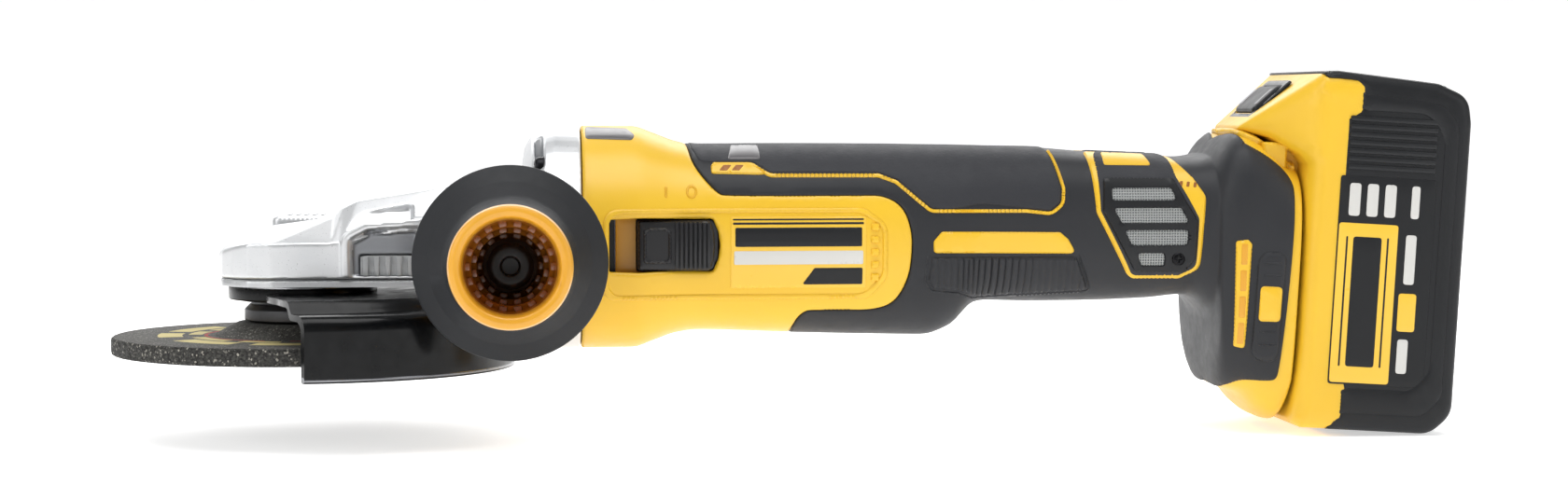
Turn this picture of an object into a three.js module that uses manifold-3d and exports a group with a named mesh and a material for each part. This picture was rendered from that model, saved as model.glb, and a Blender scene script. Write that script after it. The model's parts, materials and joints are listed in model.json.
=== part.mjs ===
// Cordless flat-head angle grinder with side handle, guard, disc and slide-on battery.
// Millimetres, +Z up. The origin is the centre of the spindle's lower end face,
// +X runs from the head to the battery, and the side handle points to -Y.
import * as THREE from 'three';
import { mergeVertices } from 'three/addons/utils/BufferGeometryUtils.js';
import Module from 'manifold-3d';

const wasm = await Module();
wasm.setup();

// ---------------------------------------------------------------- driving dimensions
const GAP = 0.3;
const MOTOR_AXIS_Z = 37.1;
const IDLER_X = 41;

const DISC_RADIUS = 62.5;
const SPUR_TEETH = 24;
const SPUR_MODULE = (2 * IDLER_X) / (2 * SPUR_TEETH);
const GEAR_TEETH = 30;
const PINION_TEETH = 10;
const BEVEL_PITCH_RADIUS = 15;

const GUARD_RADIUS = 70;
const GUARD_WALL = 2;
const GUARD_TOP_Z = 19.8;
const GUARD_SKIRT_Z = -5.2;

const CASE_BOTTOM_Z = 25;
const COVER_BOTTOM_Z = 22.4;
const CASE_REAR_X = 91.7;
const HOUSING_REAR_X = 156.5;
const SHELL_WALL = 2.5;

const HANDLE_X = 68.5;
const HANDLE_Z = 29.1;
const HANDLE_TILT = THREE.MathUtils.degToRad(2.4);
const BOSS_FACE = 38;
const FLANGE_START = 60;
const HANDLE_END = 166;

const SLOT = { x0: 100, x1: 136.6, z0: 26.5, z1: 44.5 };

const LOCK_PIN_X = 11;

const BATTERY_TILT = THREE.MathUtils.degToRad(3.4);
const BATTERY_FOOT = { x: 325.7, z: -25.7 };
const BATTERY_HALF_WIDTH = 38;
const BATTERY_DEPTH = 54;
const NECK = { half: 25.4, waist: 19.4, depth: 13, lip: 4.5 };

// ---------------------------------------------------------------- materials
const finish = (color, roughness, metalness) => new THREE.MeshStandardMaterial({ color, roughness, metalness });
const LOOK = {
  castMetal: () => finish(0xc9c9c6, 0.35, 0.9),
  steel: () => finish(0xb4b6b8, 0.3, 1),
  chrome: () => finish(0xdadcde, 0.12, 1),
  blackSteel: () => finish(0x17171a, 0.25, 0.6),
  blackPlastic: () => finish(0x26272a, 0.5, 0),
  yellowPlastic: () => finish(0xf0bb2e, 0.42, 0),
  rubber: () => finish(0x3a3c40, 0.8, 0),
  copper: () => finish(0xb4693a, 0.35, 1),
  abrasive: () => finish(0x4a4a4c, 0.95, 0),
  clear: () => finish(0xd5d8da, 0.2, 0),
  board: () => finish(0x2f6a3f, 0.6, 0),
};

// ---------------------------------------------------------------- solids
function signedVolume(points, triangles) {
  const [a, b, c] = [new THREE.Vector3(), new THREE.Vector3(), new THREE.Vector3()];
  let total = 0;
  for (let i = 0; i < triangles.length; i += 3) {
    a.fromArray(points, 3 * triangles[i]);
    b.fromArray(points, 3 * triangles[i + 1]);
    c.fromArray(points, 3 * triangles[i + 2]);
    total += a.dot(b.cross(c));
  }
  return total;
}

// A profile may be given in either direction: an inside-out skin is turned round here.
function solid(geometry) {
  const bare = geometry.clone();
  bare.deleteAttribute('normal');
  bare.deleteAttribute('uv');
  const merged = mergeVertices(bare, 1e-4);
  const index = merged.index.array;
  const kept = [];
  for (let i = 0; i < index.length; i += 3) {
    const [a, b, c] = [index[i], index[i + 1], index[i + 2]];
    if (a !== b && b !== c && a !== c) kept.push(a, b, c);
  }
  if (signedVolume(merged.attributes.position.array, kept) < 0) kept.reverse();
  const mesh = new wasm.Mesh({
    numProp: 3,
    vertProperties: new Float32Array(merged.attributes.position.array),
    triVerts: new Uint32Array(kept),
  });
  mesh.merge();
  return new wasm.Manifold(mesh);
}

function geometryOf(body) {
  const mesh = body.getMesh();
  const geometry = new THREE.BufferGeometry();
  geometry.setAttribute('position', new THREE.BufferAttribute(new Float32Array(mesh.vertProperties), 3));
  geometry.setIndex(new THREE.BufferAttribute(new Uint32Array(mesh.triVerts), 1));
  return geometry;
}

function block(x0, x1, y0, y1, z0, z1) {
  const geometry = new THREE.BoxGeometry(x1 - x0, y1 - y0, z1 - z0);
  geometry.translate((x0 + x1) / 2, (y0 + y1) / 2, (z0 + z1) / 2);
  return solid(geometry);
}

// A solid of revolution about Z from its outer profile of [radius, height] points.
function turned(profile, segments = 32) {
  const points = profile.map(([r, z]) => new THREE.Vector2(r, z));
  const geometry = new THREE.LatheGeometry(points, segments);
  geometry.rotateX(Math.PI / 2);
  return solid(geometry);
}

const rodZ = (r, z0, z1, segments = 32) => turned([[0, z0], [r, z0], [r, z1], [0, z1]], segments);
const toX = (body) => body.rotate([0, 90, 0]);
const rodX = (r, x0, x1, segments = 32) => toX(rodZ(r, x0, x1, segments)).translate([0, 0, MOTOR_AXIS_Z]);
const turnedX = (profile, segments) => toX(turned(profile, segments)).translate([0, 0, MOTOR_AXIS_Z]);
const ringZ = (r0, r1, z0, z1, segments) => rodZ(r1, z0, z1, segments).subtract(rodZ(r0, z0 - 1, z1 + 1, segments));
const ringX = (r0, r1, x0, x1, segments) => rodX(r1, x0, x1, segments).subtract(rodX(r0, x0 - 1, x1 + 1, segments));

// A prism of an outline in the XY plane, from z0 to z1.
function prismZ(outline, z0, z1) {
  const shape = new THREE.Shape(outline.map(([x, y]) => new THREE.Vector2(x, y)));
  const geometry = new THREE.ExtrudeGeometry(shape, { depth: z1 - z0, bevelEnabled: false });
  geometry.translate(0, 0, z0);
  return solid(geometry);
}

// A prism of an outline in the XZ plane, from y0 to y1.
function prismY(outline, y0, y1) {
  return prismZ(outline, -y1, -y0).rotate([90, 0, 0]);
}

// A closed skin over rings of points; each ring has the same number of points,
// and both ends are closed by a fan from the ring's middle or from a given point.
function skin(rings, firstPole, lastPole) {
  const count = rings[0].length;
  const middle = (ring) => ring.reduce((sum, p) => sum.map((v, i) => v + p[i] / count), [0, 0, 0]);
  const points = rings.flat().concat([firstPole ?? middle(rings[0]), lastPole ?? middle(rings.at(-1))]);
  const triangles = [];
  for (let ring = 0; ring < rings.length - 1; ring += 1) {
    for (let i = 0; i < count; i += 1) {
      const a = ring * count + i;
      const b = ring * count + ((i + 1) % count);
      triangles.push(a, b, a + count, b, b + count, a + count);
    }
  }
  const last = (rings.length - 1) * count;
  for (let i = 0; i < count; i += 1) {
    const next = (i + 1) % count;
    triangles.push(points.length - 2, next, i);
    triangles.push(points.length - 1, last + i, last + next);
  }
  const geometry = new THREE.BufferGeometry();
  geometry.setAttribute('position', new THREE.Float32BufferAttribute(points.flat(), 3));
  geometry.setIndex(triangles);
  return solid(geometry);
}

// A loft along X through rounded sections: { x, z0, z1, half, square }.
// square is the superellipse exponent: 2 is round, 4 is nearly a rectangle.
function loft(sections, inset = 0, around = 24) {
  const rings = sections.map(({ x, z0, z1, half, square }) => {
    const centre = (z0 + z1) / 2;
    const tall = (z1 - z0) / 2 - inset;
    return Array.from({ length: around }, (_, i) => {
      const angle = (2 * Math.PI * i) / around;
      const [c, s] = [Math.cos(angle), Math.sin(angle)];
      const y = Math.sign(c) * Math.abs(c) ** (2 / square) * (half - inset);
      return [x, y, centre + Math.sign(s) * Math.abs(s) ** (2 / square) * tall];
    });
  });
  return skin(rings);
}

const group = new THREE.Group();

function add(parent, name, body, material) {
  const mesh = new THREE.Mesh(geometryOf(body), material);
  mesh.name = name;
  parent.add(mesh);
}

// ---------------------------------------------------------------- gears
// Involute spur outline; flank points at the root, pitch and tip radius.
function spurOutline(teeth, module, phase) {
  const pitch = (teeth * module) / 2;
  const base = pitch * Math.cos(THREE.MathUtils.degToRad(20));
  const tip = pitch + 0.8 * module;
  const root = pitch - 1.1 * module;
  const involute = (radius) => {
    const pressure = Math.acos(Math.min(1, base / radius));
    return Math.tan(pressure) - pressure;
  };
  const halfAt = (radius) => (0.42 * Math.PI) / teeth + involute(pitch) - involute(Math.max(base, radius));
  const radii = [root, pitch, tip];
  const outline = [];
  for (let tooth = 0; tooth < teeth; tooth += 1) {
    const middle = phase + (2 * Math.PI * tooth) / teeth;
    const flank = radii.map((radius) => [radius, middle - halfAt(radius)]);
    const otherFlank = radii.map((radius) => [radius, middle + halfAt(radius)]).reverse();
    for (const [radius, angle] of [...flank, ...otherFlank]) {
      outline.push([radius * Math.cos(angle), radius * Math.sin(angle)]);
    }
  }
  return outline;
}

// Straight bevel toothing about Z with its cone's apex at the origin.
function bevelToothing({ teeth, coneAngle, outer, inner, tipPart, rootPart, phase, backPole, frontPole }) {
  const tipAngle = coneAngle + 0.8 / outer;
  const rootAngle = coneAngle - 1.0 / outer;
  const step = (2 * Math.PI) / teeth;
  const ringAt = (distance) => {
    const ring = [];
    for (let tooth = 0; tooth < teeth; tooth += 1) {
      const middle = phase + tooth * step;
      const corners = [[rootAngle, -rootPart], [tipAngle, -tipPart], [tipAngle, tipPart], [rootAngle, rootPart]];
      for (const [cone, part] of corners) {
        const turn = middle + part * step;
        ring.push([
          distance * Math.sin(cone) * Math.cos(turn),
          distance * Math.sin(cone) * Math.sin(turn),
          distance * Math.cos(cone),
        ]);
      }
    }
    return ring;
  };
  return skin([ringAt(inner), ringAt(outer)], [0, 0, frontPole], [0, 0, backPole]);
}

function makeDriveTrain() {
  const bevelOuter = Math.hypot(BEVEL_PITCH_RADIUS, (BEVEL_PITCH_RADIUS * PINION_TEETH) / GEAR_TEETH);
  const bevelInner = 0.63 * bevelOuter;
  const pinionCone = Math.atan(PINION_TEETH / GEAR_TEETH);

  const spindle = turned([
    [0, 0], [6.2, 0], [7, 0.8], [7, 15.9], [8.5, 15.9], [8.5, 31.1], [4, 31.1], [4, 34.7], [0, 34.7],
  ], 24);
  add(group, 'spindle', spindle, LOOK.steel());

  let spindleGear = prismZ(spurOutline(SPUR_TEETH, SPUR_MODULE, 0), 25.4, 30.4).subtract(rodZ(8.8, 24, 32, 24));
  for (let i = 0; i < 4; i += 1) {
    const angle = (Math.PI * i) / 2;
    const hole = rodZ(2.1, 24, 32, 12).translate([LOCK_PIN_X * Math.cos(angle), LOCK_PIN_X * Math.sin(angle), 0]);
    spindleGear = spindleGear.subtract(hole);
  }
  add(group, 'spindle_gear', spindleGear, LOOK.steel());

  const idlerGear = prismZ(spurOutline(SPUR_TEETH, SPUR_MODULE, Math.PI / SPUR_TEETH), 26.6, 30.4)
    .subtract(rodZ(5.3, 24, 32, 24));
  add(group, 'idler_gear', idlerGear.translate([IDLER_X, 0, 0]), LOOK.steel());

  const idlerShaft = turned([
    [0, 23.2], [3, 23.2], [3, 26.4], [5, 26.4], [5, 46.8], [3, 46.8], [3, 50.3], [0, 50.3],
  ], 24);
  add(group, 'idler_shaft', idlerShaft.translate([IDLER_X, 0, 0]), LOOK.steel());

  const bevelGear = bevelToothing({
    teeth: GEAR_TEETH, coneAngle: Math.PI / 2 - pinionCone, outer: bevelOuter, inner: bevelInner,
    tipPart: 0.1, rootPart: 0.3, phase: 0, frontPole: 4.5, backPole: 8.5,
  }).add(rodZ(8, 5, 9.4, 24)).subtract(rodZ(5.3, 0, 12, 24));
  add(group, 'bevel_gear', bevelGear.translate([IDLER_X, 0, MOTOR_AXIS_Z]), LOOK.steel());

  const pinion = bevelToothing({
    teeth: PINION_TEETH, coneAngle: pinionCone, outer: bevelOuter, inner: bevelInner,
    tipPart: 0.11, rootPart: 0.3, phase: Math.PI / PINION_TEETH, frontPole: 9.2, backPole: 15.4,
  }).add(rodZ(3.6, 14, 20.5, 24)).subtract(rodZ(2.3, 12.6, 21, 16));
  // The pinion's own X axis ends up pointing to -Z, so a gap faces the bevel gear above it.
  add(group, 'bevel_pinion', toX(pinion).translate([IDLER_X, 0, MOTOR_AXIS_Z]), LOOK.steel());

  const shaft = turnedX([
    [0, 54.2], [2, 54.2], [2, 62.6], [3, 62.6], [3, 71], [4, 71], [4, 140], [3, 140], [3, 150.5], [0, 150.5],
  ], 20);
  add(group, 'motor_shaft', shaft, LOOK.steel());
  add(group, 'rotor_core', ringX(4.3, 14.5, 98, 132, 24), LOOK.steel());

  let fan = rodX(9, 75.5, 85, 16).add(rodX(26.5, 83, 85, 28));
  const bladeCount = 11;
  for (let i = 0; i < bladeCount; i += 1) {
    const blade = block(75.5, 83.5, -0.7, 0.7, 8, 26)
      .rotate([(360 * i) / bladeCount, 0, 0]).translate([0, 0, MOTOR_AXIS_Z]);
    fan = fan.add(blade);
  }
  add(group, 'cooling_fan', fan.subtract(rodX(4.3, 70, 90, 20)), LOOK.blackPlastic());

  const bearings = [
    ['spindle_bearing_lower', ringZ(8.8, 16, 17.6, 23.4, 20)],
    ['spindle_bearing_upper', ringZ(4.3, 8, 31.5, 34.8, 16)],
    ['idler_bearing_lower', ringZ(3.3, 8, 23.1, 26.2, 16).translate([IDLER_X, 0, 0])],
    ['idler_bearing_upper', ringZ(3.3, 8, 47.1, 50.4, 16).translate([IDLER_X, 0, 0])],
    ['motor_bearing_front', ringX(3.3, 9.5, 63, 69, 16)],
    ['motor_bearing_rear', ringX(3.3, 8, 143.3, 148.7, 16)],
  ];
  for (const [name, body] of bearings) add(group, name, body, LOOK.steel());
}

// ---------------------------------------------------------------- disc, flange and nut
function makeDisc() {
  const bore = 7.3;
  const disc = turned([
    [bore, 4.6], [18.5, 4.6], [28, -0.3], [DISC_RADIUS - 1, -0.6], [DISC_RADIUS, 0.4], [DISC_RADIUS, 4.2],
    [DISC_RADIUS - 1, 5.2], [29.5, 5.4], [19.5, 9.8], [bore, 9.8], [bore, 4.6],
  ], 40);
  add(group, 'grinding_disc', disc, LOOK.abrasive());

  const flange = turned([
    [7.3, 10.1], [19.2, 10.1], [19.2, 13.8], [17.4, 15.6], [7.3, 15.6], [7.3, 10.1],
  ], 24);
  add(group, 'inner_flange', flange, LOOK.steel());

  let nut = turned([[7.3, 0.3], [15, 0.3], [17, 1], [17, 4.3], [7.3, 4.3], [7.3, 0.3]], 24);
  for (const side of [0, 90, 180, 270]) {
    nut = nut.subtract(rodZ(2, -1, 2.6, 8).translate([12.5, 0, 0]).rotate([0, 0, side]));
  }
  add(group, 'lock_nut', nut, LOOK.steel());
}

// ---------------------------------------------------------------- guard
function makeGuard() {
  const r = GUARD_RADIUS;
  const wall = GUARD_WALL;
  const plateZ = 15.9;
  const dish = turned([
    [21.7, GUARD_TOP_Z], [58.5, GUARD_TOP_Z], [61, plateZ], [r - 2.6, plateZ], [r, plateZ - 2.6],
    [r, GUARD_SKIRT_Z], [r - wall, GUARD_SKIRT_Z], [r - wall, plateZ - 3.4], [r - 3.4, plateZ - wall],
    [59.8, plateZ - wall], [57.3, GUARD_TOP_Z - wall], [21.7, GUARD_TOP_Z - wall], [21.7, GUARD_TOP_Z],
  ], 40);
  // The open front runs from the collar outwards on each side.
  const far = 90;
  const covered = prismZ([
    [-9.8, 0], [-9.8, -22], [-5, -45], [5, -r], [8, -far], [far, -far], [far, far], [8, far], [5, r], [-5, 45], [-9.8, 22],
  ], -20, 40);
  const collar = ringZ(21.7, 23.4, 17, 21.4, 36);
  // The clamp's lug, slit and screw stand on the far side of the collar, clear of the covered part.
  const clampTurn = [0, 0, -50];
  const screwHole = rodZ(1.7, -10, 10, 8).rotate([90, 0, 0]).translate([-27.5, 0, 19.2]);
  const lug = block(-31, -22.6, -4, 4, 16.8, 21.6).subtract(screwHole).rotate(clampTurn);
  const slit = block(-40, -15, -0.6, 0.6, 10, 30).rotate(clampTurn);
  add(group, 'guard', dish.intersect(covered).add(collar).add(lug).subtract(slit), LOOK.blackSteel());

  const screw = turned([[0, -7.5], [2.8, -7.5], [2.8, -4.4], [1.3, -4.4], [1.3, 5.5], [0, 5.5]], 12);
  add(group, 'guard_clamp_screw', screw.rotate([90, 0, 0]).translate([-27.5, 0, 19.2]).rotate(clampTurn),
    LOOK.steel());
}

// ---------------------------------------------------------------- gear case
// Sections of the flat head: base half width, shoulder height, roof half width, roof height.
const HEAD = [
  { x: -26.5, half: 11, shoulder: 32.6, roof: 9, top: 33.0 },
  { x: -24.8, half: 18.5, shoulder: 33.8, roof: 12, top: 34.6 },
  { x: -20.8, half: 24.2, shoulder: 35.2, roof: 14, top: 38.3 },
  { x: -16, half: 27.6, shoulder: 36.2, roof: 15, top: 39.8 },
  { x: -8, half: 29.5, shoulder: 36.4, roof: 16, top: 41.9 },
  { x: 11, half: 30.3, shoulder: 36.6, roof: 16, top: 44.4 },
  { x: 14, half: 30.4, shoulder: 36.8, roof: 16, top: 47.6 },
  { x: 18.8, half: 30.5, shoulder: 38, roof: 16, top: 49.8 },
  { x: 41.8, half: 30.5, shoulder: 42, roof: 18, top: 53.5 },
  { x: 76, half: 32, shoulder: 46, roof: 20, top: 58.6 },
];

function headSolid(z0) {
  const rings = HEAD.map(({ x, half, shoulder, roof, top }) => [
    [x, half, z0], [x, half, shoulder], [x, roof, top], [x, -roof, top], [x, -half, shoulder], [x, -half, z0],
  ]);
  return skin(rings);
}

const alongHandle = (body, side) => body
  .rotate([side * 90 - side * THREE.MathUtils.radToDeg(HANDLE_TILT), 0, 0])
  .translate([HANDLE_X, 0, HANDLE_Z]);

const SCREW_CIRCLE = 33.4;
const caseScrewPlaces = [45, 135, 225, 315].map((degrees) => {
  const angle = THREE.MathUtils.degToRad(degrees);
  return [0, SCREW_CIRCLE * Math.cos(angle), SCREW_CIRCLE * Math.sin(angle)];
});

function makeGearCase() {
  const collarX = turnedX([
    [0, 72.6], [25.5, 72.6], [30, 73.4], [33.8, 75.6], [36.6, 79.5], [37.4, 83], [37.1, CASE_REAR_X], [0, CASE_REAR_X],
  ], 36);
  let body = headSolid(CASE_BOTTOM_Z).add(collarX);
  for (const side of [1, -1]) body = body.add(alongHandle(rodZ(12, 20, BOSS_FACE, 24), side));

  const gearRoom = rodZ(24.3, 20, 31.4, 36);
  const cavities = [
    block(-40, 72.4, -60, 60, 0, CASE_BOTTOM_Z),
    gearRoom,
    gearRoom.translate([IDLER_X, 0, 0]),
    block(0, IDLER_X, -16, 16, 20, 31.4),
    rodZ(8.3, 30, 35.1, 16),
    rodZ(17.3, 30, 46.8, 28).translate([IDLER_X, 0, 0]),
    rodZ(8.3, 40, 50.7, 16).translate([IDLER_X, 0, 0]),
    rodX(6.8, 46, 62.7, 16),
    rodX(9.8, 62.7, 75, 20),
    rodX(28.8, 73.8, 100, 32),
    // recess and pin hole of the spindle lock
    block(-9.9, 12.5, -9.1, 9.1, 36.6, 60),
    rodZ(1.9, 30, 40, 8).translate([LOCK_PIN_X, 0, 0]),
  ];
  for (const cavity of cavities) body = body.subtract(cavity);

  for (const side of [1, -1]) {
    body = body.subtract(alongHandle(rodZ(4.3, 25, 60, 12), side));
    const near = side * 28.2;
    const away = side * 34;
    const ventPocket = block(20.2, 38.5, Math.min(near, away), Math.max(near, away), 24, 32.8);
    body = body.subtract(ventPocket);
  }
  for (const place of caseScrewPlaces) {
    body = body.subtract(rodX(2.4, 70, 100, 8).add(rodX(4.2, 60, 80, 12)).translate(place));
  }
  add(group, 'gear_case', body, LOOK.castMetal());

  const coverOutline = [
    [-25.9, 11], [-24.3, 18.2], [-20.4, 23.8], [-15.8, 27.1], [-8, 29], [11, 29.8], [72, 31.3],
  ];
  const mirrored = coverOutline.map(([x, y]) => [x, -y]).reverse();
  const cover = prismZ([...mirrored, ...coverOutline].reverse(), COVER_BOTTOM_Z, CASE_BOTTOM_Z - GAP)
    .add(ringZ(8.3, 10.3, 24, 26.2, 16).translate([IDLER_X, 0, 0]))
    .subtract(rodZ(16.3, 20, 30, 24))
    .subtract(rodZ(8.3, 22.8, 30, 16).translate([IDLER_X, 0, 0]));
  add(group, 'gear_case_cover', cover, LOOK.castMetal());

  const cap = turned([
    [16.3, COVER_BOTTOM_Z - GAP], [16.3, 17.3], [13.4, 17.3], [13.4, 16.6], [20.4, 16.6],
    [21.2, 17.4], [21.2, COVER_BOTTOM_Z - GAP], [16.3, COVER_BOTTOM_Z - GAP],
  ], 28);
  add(group, 'bearing_cap', cap, LOOK.chrome());

  for (const [name, side] of [['left', -1], ['right', 1]]) {
    const ys = [side * 28.5, side * 30.4].sort((a, b) => a - b);
    let insert = block(20.6, 38.1, ys[0], ys[1], 25.2, 32.4);
    for (let i = 0; i < 5; i += 1) {
      const x = 22.3 + 3.2 * i;
      insert = insert.subtract(block(x, x + 1.6, side > 0 ? 29.6 : -31, side > 0 ? 31 : -29.6, 24, 31));
    }
    add(group, `vent_insert_${name}`, insert, LOOK.clear());
  }

  caseScrewPlaces.forEach((place, i) => {
    const screw = turnedX([[0, 76.2], [3.8, 76.2], [3.8, 79.7], [2, 79.7], [2, 100], [0, 100]], 10).translate(place);
    add(group, `gear_case_screw_${i + 1}`, screw, LOOK.blackSteel());
  });
}

// ---------------------------------------------------------------- spindle lock
function makeSpindleLock() {
  const base = 41.2;
  const roof = prismY([[-9.5, base], [12.1, base], [12.1, 43.2], [10.6, 44.8], [-7.6, 44.8], [-9.5, 43]], -8.7, 8.7);
  const pin = rodZ(1.5, 31, base + 1, 8).translate([LOCK_PIN_X, 0, 0]);
  add(group, 'lock_button', roof.add(pin), LOOK.blackPlastic());
  add(group, 'lock_spring', ringZ(2.4, 3.4, 36.9, base - GAP, 12).translate([-2, 0, 0]), LOOK.steel());
}

// ---------------------------------------------------------------- motor housing and handle
const HOUSING = [
  { x: CASE_REAR_X + GAP, z0: 0, z1: 74.2, half: 37.1, square: 2 },
  { x: 109, z0: 0.1, z1: 74.1, half: 36.9, square: 2.05 },
  { x: 116.3, z0: 2.5, z1: 71.8, half: 35.4, square: 2.15 },
  { x: 123.7, z0: 5.1, z1: 69.1, half: 33.8, square: 2.3 },
  { x: 131, z0: 6, z1: 67.8, half: 32.8, square: 2.4 },
  { x: HOUSING_REAR_X, z0: 5.2, z1: 67.9, half: 32, square: 2.6 },
];
const HANDLE = [
  { x: HOUSING_REAR_X + GAP, z0: 5.2, z1: 67.9, half: 32, square: 2.6 },
  { x: 194, z0: 4.2, z1: 67.7, half: 31, square: 2.6 },
  { x: 206, z0: 4, z1: 67.5, half: 29.8, square: 2.6 },
  { x: 214.5, z0: 6.7, z1: 67.4, half: 29, square: 2.6 },
  { x: 223.3, z0: 14.7, z1: 67.2, half: 28.2, square: 2.6 },
  { x: 227, z0: 15.4, z1: 67.1, half: 28, square: 2.6 },
  { x: 243, z0: 15.1, z1: 66.8, half: 27.6, square: 2.7 },
  { x: 262, z0: 15.3, z1: 65.4, half: 27.6, square: 3 },
  { x: 282, z0: 16.1, z1: 64.4, half: 28.2, square: 3.2 },
  { x: 294, z0: 17.2, z1: 63.5, half: 29, square: 3.2 },
    { x: 301.6, z0: 11, z1: 64.6, half: 31.4, square: 3.2 },
  { x: 303, z0: -8.5, z1: 66, half: 33, square: 3.6 },
  { x: 305.1, z0: -13.7, z1: 68.5, half: 34, square: 4 },
  { x: 307.5, z0: -15.2, z1: 71, half: 35, square: 4 },
  { x: 311, z0: -16.3, z1: 72.6, half: 35.6, square: 4 },
  { x: 316.1, z0: -21.9, z1: 71.2, half: 36, square: 4 },
  { x: 321.6, z0: -25.6, z1: 67.5, half: 36.3, square: 4 },
  { x: 326, z0: -25.8, z1: 63.5, half: 36.5, square: 4 },
  { x: 336, z0: -25.8, z1: 60, half: 36.5, square: 4 },
];

// Clamshell screws on the right-hand side, as [x, z].
const SHELL_SCREWS = [[170, 60.5], [201, 12], [308, 0]];

const inBattery = (body) => body
  .rotate([0, THREE.MathUtils.radToDeg(BATTERY_TILT), 0])
  .translate([BATTERY_FOOT.x, 0, BATTERY_FOOT.z]);

function makeMotorHousing() {
  const inner = HOUSING.map((section) => ({ ...section }));
  inner[0].x -= 1;
  inner.at(-1).x += 1;
  const ribs = block(143, 149, -5, 5, 4, 70).add(rodX(12, 143.1, 148.9, 16)).intersect(loft(HOUSING, 0.9));
  const frontRing = ringX(31, 35.7, HOUSING[0].x + 0.8, 102, 30);
  let housing = loft(HOUSING).subtract(loft(inner, SHELL_WALL)).add(ribs).add(frontRing);
  housing = housing
    .subtract(rodX(4.6, 140, 152, 12).add(rodX(8.3, 143, 152, 16)))
    .subtract(block(SLOT.x0, SLOT.x1, -50, -20, SLOT.z0, SLOT.z1));
  for (const place of caseScrewPlaces) housing = housing.subtract(rodX(2.4, 80, 101, 8).translate(place));
  add(group, 'motor_housing', housing, LOOK.yellowPlastic());

  // The stator has a flat on the switch side and six closed slots for the winding.
  const slotCount = 6;
  let stator = ringX(15.2, 28, 97, 133, 28).intersect(block(90, 140, -26.1, 40, 0, 80));
  let winding = ringX(17, 22.6, 90.5, 96.7, 20).add(ringX(17, 22.6, 133.3, 139.5, 20));
  for (let i = 0; i < slotCount; i += 1) {
    const place = (body) => body.rotate([(360 * i) / slotCount, 0, 0]).translate([0, 0, MOTOR_AXIS_Z]);
    stator = stator.subtract(place(block(90, 140, -4.4, 4.4, 16.6, 23)));
    winding = winding.add(place(block(92, 138, -4, 4, 17.4, 22.2)));
  }
  add(group, 'stator_core', stator, LOOK.steel());
  add(group, 'stator_winding', winding, LOOK.copper());
}

function makeSwitch() {
  const base = block(112, 149.6, -28.4, -26.5, 26.4, 44.6);
  const thumb = prismY([
    [109.8, 27.3], [136.2, 27.3], [136.2, 43.7], [109.8, 43.7],
  ], -34.9, -27);
  let slider = base.add(thumb);
  for (let i = 0; i < 7; i += 1) {
    const x = 121.2 + 2 * i;
    slider = slider.subtract(block(x, x + 1, -36, -34.2, 26, 45));
  }
  add(group, 'switch_slider', slider, LOOK.blackPlastic());
  add(group, 'switch_rod', block(149.9, 205.6, -27, -25, 33.5, 37.5), LOOK.steel());
}

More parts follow.
